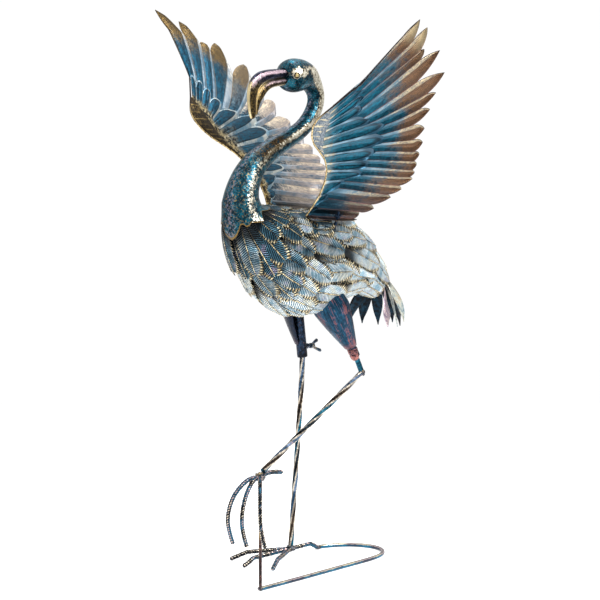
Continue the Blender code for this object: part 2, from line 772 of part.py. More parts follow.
def wing_nut(name, centre, axis, wings_along, bore):
    """A wing nut: a round boss with two upright ears, bored through."""
    bm = bmesh.new()
    axis = axis.normalized()
    wings_along = (wings_along - axis * wings_along.dot(axis)).normalized()
    over = axis.cross(wings_along)
    profile = (
        (-NUT_WING_REACH, 0.35, 1.0), (-NUT_RADIUS, 0.15, 0.62), (0.0, 0.0, 0.62),
        (NUT_RADIUS, 0.15, 0.62), (NUT_WING_REACH, 0.35, 1.0),
    )  # fmt: skip
    thick = (NUT_WING_THICK / 2, NUT_RADIUS * 0.75, NUT_RADIUS, NUT_RADIUS * 0.75, NUT_WING_THICK / 2)
    rings = []
    for (along, low, high), half in zip(profile, thick):
        base = centre + wings_along * along
        corners = ((low, -1), (high, -1), (high, 1), (low, 1))
        rings.append(
            [bm.verts.new(base + axis * (NUT_WING_HEIGHT * lift) + over * (half * way)) for lift, way in corners]
        )
    skin(bm, rings)
    nut = add_object(name, bm, "dark_steel", smooth=False)
    hole = bmesh.new()
    cylinder(hole, centre - axis * 0.01, centre + axis * 0.02, bore, 8)
    cut(nut, add_cutter(name + "_bore", hole))
    return nut


# Thighs, sockets and the clamp screw.


def socket_line(ends):
    top, bottom = (place(*end) for end in ends)
    return top, bottom, (bottom - top).normalized()


def make_thigh(name, ends, radii, faces, side, envelope):
    """A conical shell of sheet, open on its inner side, from the belly to its socket."""
    top, bottom, down = socket_line(ends)
    low = bottom - down * THIGH_FOOT
    forward = place(math.cos(faces), side * math.sin(faces), 0.0)
    forward = (forward - down * forward.dot(down)).normalized()
    across = down.cross(forward).normalized()
    foot_radius, top_radius = radii
    bm = bmesh.new()
    rings = []
    levels = 4
    for level in range(levels + 1):
        share = level / levels
        centre = low.lerp(top, share)
        radius = foot_radius + (top_radius - foot_radius) * share
        outer = []
        inner = []
        for i in range(THIGH_SEGMENTS + 1):
            angle = THIGH_HALF_ARC * (2 * i / THIGH_SEGMENTS - 1)
            way = forward * math.cos(angle) + across * math.sin(angle)
            outer.append(bm.verts.new(centre + way * (radius + THIGH_SHEET)))
            inner.append(bm.verts.new(centre + way * radius))
        rings.append(outer + inner[::-1])
    skin(bm, rings)
    thigh = add_object(name, bm, "dark_steel")
    cut(thigh, envelope)
    return thigh


def make_socket(name, ends, envelope, cross_hole=None):
    """A tube closed by the belly at its top, bored from below for the leg."""
    top, bottom, down = socket_line(ends)
    bm = bmesh.new()
    cylinder(bm, top, bottom, SOCKET_RADIUS, SOCKET_SIDES)
    socket = add_object(name, bm, "dark_steel")
    bore = bmesh.new()
    cylinder(bore, bottom - down * SOCKET_DEPTH, bottom + down * 0.01, SOCKET_BORE, SOCKET_SIDES)
    cut(socket, add_cutter(name + "_bore", bore))
    cut(socket, envelope)
    if cross_hole is not None:
        cut(socket, cross_hole)
    return socket


def clamp_frame():
    """Centre of the leg at the clamp screw, and the screw's direction: straight back."""
    _, bottom, down = socket_line(RIGHT_SOCKET)
    centre = bottom - down * CLAMP_UP
    return centre, place(-1.0, 0.0, -CLAMP_DROOP).normalized(), down


def make_clamp():
    """Weld nut on the socket and the thumb screw in it."""
    centre, out, down = clamp_frame()
    hole = bmesh.new()
    cylinder(hole, centre + out * 0.002, centre + out * 0.03, CLAMP_SHANK + GAP, 8)
    hole_cutter = add_cutter("clamp_hole", hole)
    face = centre + out * (SOCKET_RADIUS + CLAMP_NUT * abs(down.dot(out)) + GAP)
    nut_bm = bmesh.new()
    cylinder(nut_bm, face, face + out * CLAMP_NUT_LONG, CLAMP_NUT, 6)
    nut = add_object("clamp_nut", nut_bm, "dark_steel", smooth=False)
    cut(nut, hole_cutter)
    screw_bm = bmesh.new()
    tip = centre + out * (BAR_SIDE / math.sqrt(2) + GAP)
    end = centre + out * CLAMP_REACH
    cylinder(screw_bm, tip, end, CLAMP_SHANK, 8)
    screw = add_object("clamp_screw", screw_bm, "dark_steel")
    wings = bmesh.new()
    lean = (down * -0.95 + out.cross(down) * 0.3).normalized()
    side = out.cross(lean).normalized()
    rings = []
    for along, low, high, half in (
        (-CLAMP_WING_REACH, 0.0140, 0.0205, 0.0011),
        (-0.0050, 0.0010, 0.0115, 0.0016),
        (0.0, -0.0020, 0.0060, 0.0042),
        (0.0050, 0.0010, 0.0115, 0.0016),
        (CLAMP_WING_REACH, 0.0140, 0.0205, 0.0011),
    ):
        base = end + lean * along
        corners = ((low, -1), (high, -1), (high, 1), (low, 1))
        rings.append([wings.verts.new(base + out * lift + side * (half * way)) for lift, way in corners])
    skin(wings, rings)
    ears = add_cutter("clamp_ears", wings)
    union = screw.modifiers.new("ears", "BOOLEAN")
    union.operation = "UNION"
    union.solver = "EXACT"
    union.object = ears
    return hole_cutter


# Legs, feet and base.


def make_standing_leg():
    top, bottom, down = socket_line(RIGHT_SOCKET)
    points = [bottom - down * LEG_IN_SOCKET, bottom - down * 0.004]
    points += [place(*spot) for spot in STANDING_LEG]
    return twisted_bar("standing_leg", spaced(points, BAR_RING_STEP), "rod_steel")


def make_raised_leg():
    top, bottom, down = socket_line(LEFT_SOCKET)
    knee = place(*KNEE)
    upper_end = knee - (knee - bottom).normalized() * (TOE_RADIUS + 0.0030)
    rod("raised_leg_upper", [bottom - down * LEG_IN_SOCKET, bottom, upper_end], 0.0048, 8, "rod_steel")
    ankle = place(*ANKLE)
    along = (ankle - knee).normalized()
    lower = ankle + Vector((0, 0, SHIN_ABOVE_HEEL)) - along * SHIN_SHORT
    ends = [knee, knee.lerp(lower, 0.5), lower]
    twisted_bar("raised_leg_shin", spaced(ends, BAR_RING_STEP), "rod_steel")


def toe_direction(turn):
    return place(math.cos(turn), math.sin(turn), 0.0)


def make_standing_foot():
    """Middle toe and heel in one rod under the leg, and a toe butted on each side."""
    foot = place(*STANDING_FOOT, TOE_LEVEL)
    floor_centre = TOE_RADIUS * math.cos(math.pi / TOE_SIDES)
    drop = Vector((0, 0, TOE_LEVEL - floor_centre))
    ahead = toe_direction(STANDING_TURN)
    heel_end = foot - ahead * (HEEL_REACH + HEEL_HOOK) - drop
    reach = STANDING_REACH + MIDDLE_TOE_MORE
    middle = [
        foot + ahead * (reach + STANDING_HOOK) - drop,
        foot + ahead * (reach + STANDING_HOOK * 0.5) - drop * 0.62,
        foot + ahead * reach - drop * 0.1,
        foot + ahead * (reach - 0.012),
        foot,
        foot - ahead * (HEEL_REACH - 0.006),
        foot - ahead * (HEEL_REACH + 0.002) - drop * 0.1,
        heel_end + ahead * 0.004 + drop * 0.22,
        heel_end,
    ]
    rod("standing_toe_middle", middle, TOE_RADIUS, TOE_SIDES, "rod_steel")
    for name, way in (("standing_toe_right", -1), ("standing_toe_left", 1)):
        out = toe_direction(STANDING_TURN + way * TOE_SPREAD)
        start = (TOE_RADIUS * 2 + GAP) / math.sin(TOE_SPREAD)
        points = [
            foot + out * start,
            foot + out * (STANDING_REACH - 0.018),
            foot + out * (STANDING_REACH - 0.008) - drop * 0.1,
            foot + out * (STANDING_REACH + STANDING_HOOK * 0.45) - drop * 0.66,
            foot + out * (STANDING_REACH + STANDING_HOOK * 0.9) - drop,
        ]
        rod(name, points, TOE_RADIUS, TOE_SIDES, "rod_steel")
    return heel_end


def make_raised_foot():
    """Three hanging toes and a heel; the middle toe and the heel are one rod."""
    ankle = place(*ANKLE)
    ahead = toe_direction(RAISED_TURN)

    def profile(direction, spots):
        return [ankle + direction * out - ahead * back + Vector((0, 0, up)) for out, back, up in spots]

    heel = profile(-toe_direction(RAISED_HEEL_TURN), RAISED_HEEL[::-1])
    middle = profile(ahead, HANGING_TOE[1:])
    rod("raised_toe_middle", heel + spaced(middle, HANGING_STEP), TOE_RADIUS, TOE_SIDES, "rod_steel")
    for name, way in (("raised_toe_right", -1), ("raised_toe_left", 1)):
        out = toe_direction(RAISED_TURN + way * RAISED_SPREAD)
        start = (TOE_RADIUS * 2 + GAP) / math.sin(RAISED_SPREAD)
        spots = [(start, 0.0, 0.001), *HANGING_TOE[2:]]
        rod(name, spaced(profile(out, spots), HANGING_STEP), TOE_RADIUS, TOE_SIDES, "rod_steel")


def make_base(heel_end):
    """The runner on the ground, from under the raised foot round to the heel, and the post."""
    level = RUNNER_RADIUS * math.cos(math.pi / RUNNER_SIDES)
    path = [place(forward, left, level) for forward, left in RUNNER]
    end = heel_end.copy()
    end.z = level
    last = path[-1]
    stop = end + (last - end).normalized() * (TOE_RADIUS + RUNNER_RADIUS * 0.3 + GAP)
    path.append(stop)
    start = path[0] + (path[0] - path[1]).normalized() * POST_RADIUS
    path[0] = start
    points = spaced(path, RUNNER_STEP)
    rod("base_runner", points, RUNNER_RADIUS, RUNNER_SIDES, "rod_steel")
    foot = place(*RUNNER[0], RUNNER_RADIUS * 2 + GAP)
    top = place(ANKLE[0], ANKLE[1], ANKLE[2] - TOE_RADIUS - GAP - 0.0005)
    rod("base_post", [foot, foot.lerp(top, 0.5), top], POST_RADIUS, 8, "rod_steel")


def centre_over_footprint(root):
    """Moves the figure so that the origin lies under the middle of its box, on the ground."""
    bpy.context.view_layer.update()
    graph = bpy.context.evaluated_depsgraph_get()
    low = Vector((math.inf,) * 3)
    high = Vector((-math.inf,) * 3)
    for piece in root.children:
        if piece.hide_render:
            continue
        shown = piece.evaluated_get(graph)
        mesh = shown.to_mesh()
        for vertex in mesh.vertices:
            spot = shown.matrix_world @ vertex.co
            low = Vector(map(min, low, spot))
            high = Vector(map(max, high, spot))
        shown.to_mesh_clear()
    root.location = (-(low.x + high.x) / 2, -(low.y + high.y) / 2, -low.z)
    print("size", [round(x, 4) for x in high - low], "moved", [round(x, 5) for x in root.location])


def main():
    clear_scene()
    root = bpy.data.objects.new("figure", None)
    bpy.context.scene.collection.objects.link(root)

    envelope = make_body_envelope()
    make_body()

    make_neck()
    make_bill_half("bill_upper", BILL_UPPER)
    make_bill_half("bill_lower", BILL_LOWER)
    make_eye("eye_left", 1)
    make_eye("eye_right", -1)

    for index in range(ROW_COUNT):
        make_feather_row(index)
    for index in range(TAIL_COUNT):
        make_tail_blade(index)

    for word, side in (("left", 1), ("right", -1)):
        wing = make_wing("wing_" + word, side)
        head, axis = stud_place(side)
        make_stud("wing_stud_" + word, side, envelope)
        hole = bmesh.new()
        reach = axis * 0.05
        cylinder(hole, head - reach, head + reach, STUD_RADIUS + GAP, 8)
        hole_cutter = add_cutter("stud_hole_" + word, hole)
        cut(wing, hole_cutter)
        seat = head + axis * (WING_SHEET / 2 + GAP)
        wing_nut("wing_nut_" + word, seat, axis, Vector((side * 0.2, -1, 0)), STUD_RADIUS + GAP)

    cross_hole = make_clamp()
    make_thigh("thigh_right", RIGHT_SOCKET, RIGHT_THIGH_RADII, RIGHT_THIGH_FACES, -1, envelope)
    make_thigh("thigh_left", LEFT_SOCKET, LEFT_THIGH_RADII, LEFT_THIGH_FACES, 1, envelope)
    make_socket("socket_right", RIGHT_SOCKET, envelope, cross_hole)
    make_socket("socket_left", LEFT_SOCKET, envelope)

    make_standing_leg()
    make_raised_leg()
    heel_end = make_standing_foot()
    make_raised_foot()
    make_base(heel_end)
    centre_over_footprint(root)


main()
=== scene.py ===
# %% [markdown]
# # A sheet-steel flamingo for the garden
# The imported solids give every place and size. This lesson dresses them: each plain solid is
# replaced by a finer piece in the same place, and every surface gets its worn, rubbed-gold paint.

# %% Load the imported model
import math
import random

import bmesh
import bpy
from mathutils import Matrix, Vector, noise
from mathutils.bvhtree import BVHTree


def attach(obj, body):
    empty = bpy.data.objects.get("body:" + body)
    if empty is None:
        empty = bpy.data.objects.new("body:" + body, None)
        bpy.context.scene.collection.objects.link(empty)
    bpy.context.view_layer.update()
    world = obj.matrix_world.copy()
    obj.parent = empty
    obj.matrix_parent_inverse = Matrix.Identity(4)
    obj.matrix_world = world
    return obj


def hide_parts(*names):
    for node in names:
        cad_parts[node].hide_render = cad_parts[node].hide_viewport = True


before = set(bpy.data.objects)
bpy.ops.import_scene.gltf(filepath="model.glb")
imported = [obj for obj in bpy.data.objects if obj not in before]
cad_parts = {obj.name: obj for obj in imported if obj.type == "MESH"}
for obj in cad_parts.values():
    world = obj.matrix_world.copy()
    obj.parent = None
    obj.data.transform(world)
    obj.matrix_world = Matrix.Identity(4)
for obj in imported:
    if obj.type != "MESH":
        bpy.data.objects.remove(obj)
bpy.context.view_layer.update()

# %% [markdown]
# ## One way to say where things are
# The bird is laid out as (forward, left, up) from its standing foot, as its maker would measure it.
# The model's own axes have it facing -Y with its left side towards +X, so one small function turns
# the first into the second. Longer tables are in millimetres.

# %% Places
SHIFT = Vector((0.00209, 0.01349, 0.0))
SIDEWAYS = Vector((1, 0, 0))


def place(forward, left, up):
    return Vector((left, -forward, up)) + SHIFT


def mm(*rows):
    """Rows of millimetres in metres, rounded to the same number that the metres would be typed as."""
    return [tuple(round(v / 1000, 7) for v in row) for row in rows]


def smooth_row(rows, where):
    """Catmull-Rom value at a place counted in rows, for tuples of numbers."""
    last = len(rows) - 1
    where = min(max(where, 0.0), last)
    first = min(int(where), last - 1)
    t = where - first
    a, b, c, d = (rows[min(max(first + step, 0), last)] for step in (-1, 0, 1, 2))
    return tuple(
        0.5 * (2 * q + (r - p) * t + (2 * p - 5 * q + 4 * r - s) * t**2 + (3 * q - p - 3 * r + s) * t**3)
        for p, q, r, s in zip(a, b, c, d)
    )


# %% [markdown]
# ## Camera
# The picture was taken with a long lens from the bird's left front, a little above its middle.
# A long lens far away flattens the figure, so the two wings look almost equally large.

# %% Camera
CAMERA_TURN = math.radians(48.5)
CAMERA_DIP = math.radians(8.136)
CAMERA_AWAY = 4.3
CAMERA_UP = 1.09
CAMERA_ASIDE = 0.0158
MID_PLANE = 0.038


def add_object(name, data):
    made = bpy.data.objects.new(name, data)
    bpy.context.scene.collection.objects.link(made)
    return made


cos, sin = math.cos(CAMERA_TURN), math.sin(CAMERA_TURN)
level_sight = Vector((-cos, sin, 0.0))
sight = level_sight * math.cos(CAMERA_DIP) - Vector((0, 0, math.sin(CAMERA_DIP)))
screen_right = Vector((sin, cos, 0.0))
lens = bpy.data.cameras.new("camera")
lens.lens, lens.sensor_width, lens.clip_end = 144.0, 36.0, 200.0
camera = add_object("camera", lens)
eye_forward, eye_left = sin * CAMERA_AWAY - cos * CAMERA_ASIDE, cos * CAMERA_AWAY + sin * CAMERA_ASIDE
camera.location = place(eye_forward, eye_left - MID_PLANE, CAMERA_UP)
camera.rotation_euler = Matrix((screen_right, screen_right.cross(sight), -sight)).transposed().to_euler()
bpy.context.scene.camera = camera
print("camera at", [round(v, 3) for v in camera.location])

# %% [markdown]
# ## Shader sums written as sums
# Paint that is worn, dabbed and rubbed is a sum of many small masks. Wiring each by hand is slow
# and hard to read, so a small class lets a node's output be used in an ordinary expression,
# and one method makes any other node.


# %% Wires and finishes
def sums(operation, swapped=False):
    """A method that adds one Math node."""

    def add_node(self, other=0.0):
        pair = (other, self) if swapped else (self, other)
        return self.finish.node("ShaderNodeMath", {"operation": operation}, dict(enumerate(pair)))

    return add_node


class Wire:
    """A node's output. Sums and products with it add the Math nodes they need."""

    __add__ = __radd__ = sums("ADD")
    __sub__, __rsub__ = sums("SUBTRACT"), sums("SUBTRACT", True)
    __mul__ = __rmul__ = sums("MULTIPLY")
    __truediv__ = sums("DIVIDE")
    most, least, wave, size = sums("MAXIMUM"), sums("MINIMUM"), sums("SINE"), sums("ABSOLUTE")

    def __init__(self, finish, socket):
        self.finish, self.socket = finish, socket

    def rise(self, low, high):
        """0 below low, 1 above high, smooth between; the other way round where low is the larger."""
        if low > high:
            return 1 - self.rise(high, low)
        sockets = {"Value": self, "From Min": low, "From Max": high}
        return self.finish.node("ShaderNodeMapRange", {"interpolation_type": "SMOOTHSTEP"}, sockets)

    def near(self, middle, reach, full=0.0):
        """1 within full of a middle value, falling to 0 at a reach from it on both sides."""
        return (self - middle).size().rise(reach, full)


class Finish:
    """A material, or the sky, under construction. Colours are as a colour card gives them, 0 to 255."""

    def __init__(self, name, metallic=0.0, roughness=0.5, sky=False):
        self.material = (bpy.data.worlds if sky else bpy.data.materials).new(name)
        self.material.use_nodes = True
        self.tree = self.material.node_tree
        self.shader = self.tree.nodes["Background" if sky else "Principled BSDF"]
        if not sky:
            self.feed(self.shader, {"Metallic": metallic, "Roughness": roughness})
            self.spot = self.node("ShaderNodeTexCoord", {}, {}, "Object")

    def feed(self, node, sockets):
        for name, value in sockets.items():
            socket = node.inputs[name]
            if isinstance(value, Wire):
                self.tree.links.new(value.socket, socket)
            elif socket.type == "RGBA":
                shares = [v / 255 for v in value]
                linear = [v / 12.92 if v < 0.0404 else ((v + 0.055) / 1.055) ** 2.4 for v in shares]
                socket.default_value = (*linear, 1)
            else:
                socket.default_value = value

    def node(self, kind, settings, sockets, out=0):
        made = self.tree.nodes.new(kind)
        for name, value in settings.items():
            setattr(made, name, value)
        self.feed(made, sockets)
        return Wire(self, made.outputs[out])

    def kept(self, name):
        """A number that the piece's mesh keeps under a name."""
        return self.node("ShaderNodeAttribute", {"attribute_name": name}, {}, "Fac")

    def parts(self, vector):
        """The three numbers of a vector."""
        first = self.node("ShaderNodeSeparateXYZ", {}, {0: vector})
        return first, *(Wire(self, first.socket.node.outputs[i]) for i in (1, 2))

    def sheet_map(self, name):
        """The two numbers that a piece keeps for each place on its sheet."""
        return self.parts(self.node("ShaderNodeUVMap", {"uv_map": name}, {}))[:2]

    def cloud(self, scale, detail=2, rough=0.5, warp=0.0, where=None):
        sockets = {"Vector": where or self.spot, "Scale": scale, "Detail": detail, "Roughness": rough}
        return self.node("ShaderNodeTexNoise", {}, {**sockets, "Distortion": warp})

    def streaks(self, across, along, detail=3, rough=0.6, warp=0.0):
        """A cloud drawn out along a sheet."""
        where = self.node("ShaderNodeCombineXYZ", {}, {0: across, 1: along})
        return self.cloud(1, detail, rough, warp, where)

    def dimples(self, scale):
        """Hammer marks: distance to the nearest of many scattered points."""
        sockets = {"Vector": self.spot, "Scale": scale, "Smoothness": 0.35, "Randomness": 0.9}
        return self.node("ShaderNodeTexVoronoi", {"feature": "SMOOTH_F1"}, sockets)

    def blend(self, share, low, high):
        """A colour between two colours."""
        return self.node("ShaderNodeMix", {"data_type": "RGBA"}, {0: share, 6: low, 7: high}, 2)

    def done(self, colour, roughness=None, height=None, depth=0.0):
        """Feeds the shader its colour, roughness and relief, and hands over the material."""
        self.feed(self.shader, {"Base Color": colour})
        if roughness:
            self.feed(self.shader, {"Roughness": roughness})
        if height:
            normal = self.node("ShaderNodeBump", {}, {"Height": height, "Distance": depth})
            self.feed(self.shader, {"Normal": normal})
        return self.material


# %% [markdown]
# ## The paints
# The figure is steel sprayed blue-green, then rubbed over by hand with pale gold and a little copper.
# The rub catches high places and edges and leaves the hollows dark. So each finish starts with the
# same base and differs in how much gold it takes and where. Several finishes also carry painted
# light and shade: painted highlights where faces catch the lamps, painted shade in gaps, recesses
# and under things, and darker copies of a paint for parts that stand in shade.

# %% Paint colours
DEEP_TEAL = (6, 56, 72)
GOLD = (232, 212, 164)
BROWN_GOLD = (140, 110, 62)
COPPER = (190, 118, 100)
LILAC = (172, 150, 178)
# A plain blue-black; on the far thigh and in the underside's covert lines it is painted shade.
BLUE_BLACK = (14, 20, 30)


def rubbed_steel(name, low, high, gold_from, gold_to, fleck_colour=COPPER, size=200, hammer=0.0006, shine=0.34):
    """Steel with a two-tone base, soft dabs of gold, fine flecks and shallow hammer marks."""
    f = Finish(name, 0.82)
    drift, dab = f.cloud(size * 0.2), f.cloud(size, 3, 0.62, 0.3)
    fleck = f.cloud(size * 2.6, 2, 0.6)
    base = f.blend((dab * 0.6 + drift * 0.4).rise(0.4, 0.62), low, high)
    base = f.blend(fleck.rise(0.6, 0.7) * 0.6, base, fleck_colour)
    worn = drift * 0.5 + dab * 0.35 + fleck * 0.15
    tone = f.blend(worn.rise(gold_from, gold_to + 0.1), BROWN_GOLD, GOLD)
    colour = f.blend(worn.rise(gold_from, gold_to) * 0.9, base, tone)
    return f.done(colour, 0.14 + dab * shine, f.dimples(size * 1.1) + fleck * 0.35, hammer)


DARK_PAINT = rubbed_steel("dark_steel_paint", BLUE_BLACK, (34, 58, 84), 0.6, 0.7, (120, 90, 96), 170, 0.0004)

# %% [markdown]
# ## Growing a tube
# Neck, bill, legs and toes are all one kind of shape: a ring drawn along a path. A ring of vertices
# is made once, and each further ring is its extrusion, moved to where the path has gone. That keeps
# every ring joined to the last one and needs no list of faces.


# %% Rings and tubes
def grow(bm, rings, cap_first=True, keep=None):
    """Extrudes a ring of vertices through a list of rings; keep holds numbers to store by (ring, place)."""
    layers = {name: bm.verts.layers.float.new(name) for name in (keep or {})}
    sides = len(rings[0])
    verts = bmesh.ops.create_circle(bm, cap_ends=False, segments=sides, radius=1.0)["verts"]
    edges = list({edge for vert in verts for edge in vert.link_edges})
    for number, ring in enumerate(rings):
        if number:
            order = {vert: i for i, vert in enumerate(verts)}
            pulled = bmesh.ops.extrude_edge_only(bm, edges=edges)
            fresh = {g for g in pulled["geom"] if isinstance(g, bmesh.types.BMVert)}
            verts = [None] * sides
            for vert in fresh:
                for edge in vert.link_edges:
                    old = edge.other_vert(vert)
                    if old in order:
                        verts[order[old]] = vert
            edges = list({e for v in verts for e in v.link_edges if e.other_vert(v) in fresh})
        for i, (vert, spot) in enumerate(zip(verts, ring)):
            vert.co = spot
            for name, layer in layers.items():
                vert[layer] = keep[name](number, i)
        if number == len(rings) - 1 or (number == 0 and cap_first):
            bmesh.ops.edgeloop_fill(bm, edges=edges)


def frames_along(points, across=None):
    """A tangent and two steady cross axes at each point of a path."""
    frames = []
    for i, point in enumerate(points):
        tangent = (points[min(i + 1, len(points) - 1)] - points[max(i - 1, 0)]).normalized()
        if across is None:
            helper = Vector((0, 0, 1)) if abs(tangent.z) < 0.9 else SIDEWAYS
            across = tangent.cross(helper).normalized()
        across = (across - tangent * across.dot(tangent)).normalized()
        frames.append((point, tangent, across, tangent.cross(across)))
    return frames


def ring_round(centre, across, over, sides, half_across, half_over=None):
    half_over = half_over or half_across
    turns = [math.tau * i / sides for i in range(sides)]
    return [centre + across * (half_across * math.cos(a)) + over * (half_over * math.sin(a)) for a in turns]


def upright_rings(stations, sides, tuck=0.0):
    """Rings square to a line in the mirror plane, from (forward, up, half height, half width)."""
    points = [place(row[0], 0.0, row[1]) for row in stations]
    points[0].y += tuck
    rings = []
    for (_, _, *halves), (point, tangent, _, _) in zip(stations, frames_along(points)):
        rings.append(ring_round(point, tangent.cross(SIDEWAYS).normalized(), SIDEWAYS, sides, *halves))
    return rings


def shrunk(ring, share, move):
    """A ring drawn in towards its middle and moved."""
    centre = sum(ring, Vector()) / len(ring)
    return [centre + (spot - centre) * share + move for spot in ring]


def round_turn(sides):
    """A number to keep: 0 at a ring's first place, 1 at the opposite one."""
    return lambda ring, i: 2 * min(i, sides - i) / sides


def spaced(points, step):
    """Points at even steps along a smooth curve through the given ones."""
    rows = [tuple(p) for p in points]
    fine = [Vector(smooth_row(rows, i / 24)) for i in range((len(rows) - 1) * 24 + 1)]
    lengths = [0.0]
    for near, far in zip(fine, fine[1:]):
        lengths.append(lengths[-1] + (far - near).length)
    count = max(1, round(lengths[-1] / step))
    picked = []
    at = 0
    for i in range(count + 1):
        goal = lengths[-1] * i / count
        while at < len(lengths) - 2 and lengths[at + 1] < goal:
            at += 1
        share = (goal - lengths[at]) / max(lengths[at + 1] - lengths[at], 1e-9)
        picked.append(fine[at].lerp(fine[at + 1], min(max(share, 0.0), 1.0)))
    return picked


def finish_piece(name, bm, paints, nodes=(), crease=35, sheet=None, faces_out=False):
    """Closes a bmesh into a piece that rides on the figure. A sheet is (thickness, offset)."""
    if not faces_out:
        bmesh.ops.recalc_face_normals(bm, faces=bm.faces)
    mesh = bpy.data.meshes.new(name)
    bm.to_mesh(mesh)
    bm.free()
    for material in paints:
        mesh.materials.append(material)
    mesh.shade_smooth()
    mesh.set_sharp_from_angle(angle=math.radians(crease))
    piece = add_object(name, mesh)
    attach(piece, "root")
    if nodes:
        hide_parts(*nodes)
    if sheet:
        thick = piece.modifiers.new("sheet", "SOLIDIFY")
        thick.thickness, thick.offset = sheet
    print(name, len(mesh.vertices), "vertices")
    return piece


def tube(name, rings, paints, slot, nodes=(), crease=50, sheet=None, **options):
    bm = bmesh.new()
    grow(bm, rings, **options)
    return finish_piece(name, bm, paints, nodes, crease, sheet)


def face_towards(bm, way):
    """Turns a sheet's faces so that most look one way."""
    bmesh.ops.recalc_face_normals(bm, faces=bm.faces)
    if sum(face.normal.dot(way) * face.calc_area() for face in bm.faces) < 0:
        bmesh.ops.reverse_faces(bm, faces=bm.faces)


def grid(bm, columns, rows):
    """A grid's vertices, each with its column and row, and its faces."""
    verts = bmesh.ops.create_grid(bm, x_segments=columns, y_segments=rows, size=1.0)["verts"]
    crossings = {v: (round((v.co.x + 1) / 2 * columns), round((v.co.y + 1) / 2 * rows)) for v in verts}
    return crossings, {face for vert in verts for face in vert.link_faces}


# %% [markdown]
# ## The body's shape
# The body is a smooth egg whose ribs fan out from the collar to the rump. The same rib table as the
# solid's gives any place on it, so everything laid on the body later sits exactly where it should.

# %% The ribs
# Each rib: top forward, top up, bottom forward, bottom up, half width.
RIBS = mm(
    (141, 668, 206, 668, 33), (134, 662, 204, 640, 38), (124, 661, 199, 609, 47), (115, 660, 183, 574, 56),
    (106, 658, 158, 540, 64), (95, 656, 124, 506, 69), (75, 652, 83, 471, 72), (35, 643, 35, 456, 75),
    (-20, 638, -15, 456, 72), (-75, 628, -64, 468, 64), (-130, 597, -110, 480, 50),
    (-176, 554, -152, 474, 36), (-205, 516, -184, 464, 25), (-225, 484, -210, 458, 12),
)
BODY_FULLNESS = 2.25
FEATHER_DEPTH = 0.006


def body_point(rib, angle, proud):
    """A place on the body: the rib, the angle from the top towards the left, and how far outwards."""
    top_f, top_u, low_f, low_u, half_width = smooth_row(RIBS, rib)
    upward = Vector((0.0, low_f - top_f, top_u - low_u))
    half_height = upward.length / 2 - FEATHER_DEPTH + proud
    share = 2 / BODY_FULLNESS
    rise, side = (math.copysign(abs(v) ** share, v) for v in (math.cos(angle), math.sin(angle)))
    centre = place((top_f + low_f) / 2, 0.0, (top_u + low_u) / 2)
    aside = (half_width + (proud - FEATHER_DEPTH)) * side
    return centre + upward.normalized() * (half_height * rise) + SIDEWAYS * aside


def body_ring(rib, proud, sides):
    return [body_point(rib, math.tau * i / sides, proud) for i in range(sides)]


# %% [markdown]
# ## Neck and head
# On the real figure the neck is a tapering tube with a hammered skin that swells into the breast
# and ends in a jagged collar lying over the first feathers. The head is a ball that the bill
# plugs into. Growing it as one tube keeps the long S-bend smooth; the collar's last rings
# are pushed out to uneven ribs to make its points.

# %% Neck paint
def neck_paint():
    """Teal speckled with ochre; a pale gold band down one side, gold rub with a painted highlight on it; a
    painted lilac reflection along the front edge; umber darkened as painted shade where the neck crosses over.
    """
    f = Finish("rubbed_neck_and_highlight", 0.8)
    turned, gone = f.kept("turned"), f.kept("gone")
    soft, dab = f.cloud(85, 3, 0.6, 0.2), f.cloud(230, 3, 0.62, 0.3)
    fleck = f.cloud(560, 2, 0.6)
    low_part, head_part = gone.rise(0.15, 0.1), gone.rise(0.355, 0.385)
    crossing, crook = gone.near(0.19, 0.085, 0.045), gone.near(0.315, 0.065, 0.035)
    base = f.blend((soft * 0.5 + dab * 0.5).rise(0.4, 0.62), (6, 46, 60), (18, 108, 130))
    # Lilac along the front edge: a painted reflection at the tube's grazing edge.
    base = f.blend(turned.rise(0.84, 1) * dab.rise(0.48, 0.6) * 0.55, base, (172, 154, 182))
    base = f.blend(fleck.rise(0.6, 0.68) * 0.5, base, (132, 84, 76))
    ochre = (fleck * 0.6 + dab * 0.5).rise(0.6, 0.68) * (0.25 + low_part * 0.75)
    base = f.blend(ochre, base, (168, 138, 78))
    # Umber on the side under the crossing: painted shade, flecked with brown-gold.
    umber = gone.near(0.145, 0.055, 0.025) * turned.near(0.72, 0.26, 0.12)
    umber = umber * (soft * 0.7 + dab * 0.5).rise(0.46, 0.6)
    base = f.blend(umber, base, f.blend(fleck.rise(0.46, 0.6), (22, 16, 12), (92, 70, 34)))
    # A band at a fixed turn round the tube, pale gold to near white: a painted highlight along the side that
    # the lamps catch.
    off_highlight = (turned - (crossing * 0.2 + low_part * 0.18 + 0.4)).size()
    off_highlight = off_highlight * (1 + low_part * 0.25 - crook * 0.4) - crook * 0.03
    ridge = off_highlight.rise(0.27, 0.02) * (1 - head_part * 0.35)
    # The gold mixes the painted highlight band with the gold rub in dabs.
    worn = ridge * 0.46 + soft * (0.55 + head_part * 0.55) + dab * 0.36 + fleck * 0.1
    speckle = 0.12 - (fleck - 0.5) * 0.7 - (dab - 0.5) * 0.6
    worn = worn - umber * 0.12 - head_part * 0.18 - gone.rise(0.125, 0.085) * speckle
    tone = f.blend((worn + (dab - 0.5) * 0.3).rise(0.8, 1.02), (116, 92, 48), (255, 248, 226))
    gold = (worn.rise(0.74, 0.92) * 0.95).most(gone.rise(0.0024, 0.0012))
    return f.done(f.blend(gold, base, tone), 0.18 + dab * 0.24, f.dimples(170) + fleck * 0.4, 0.0006)


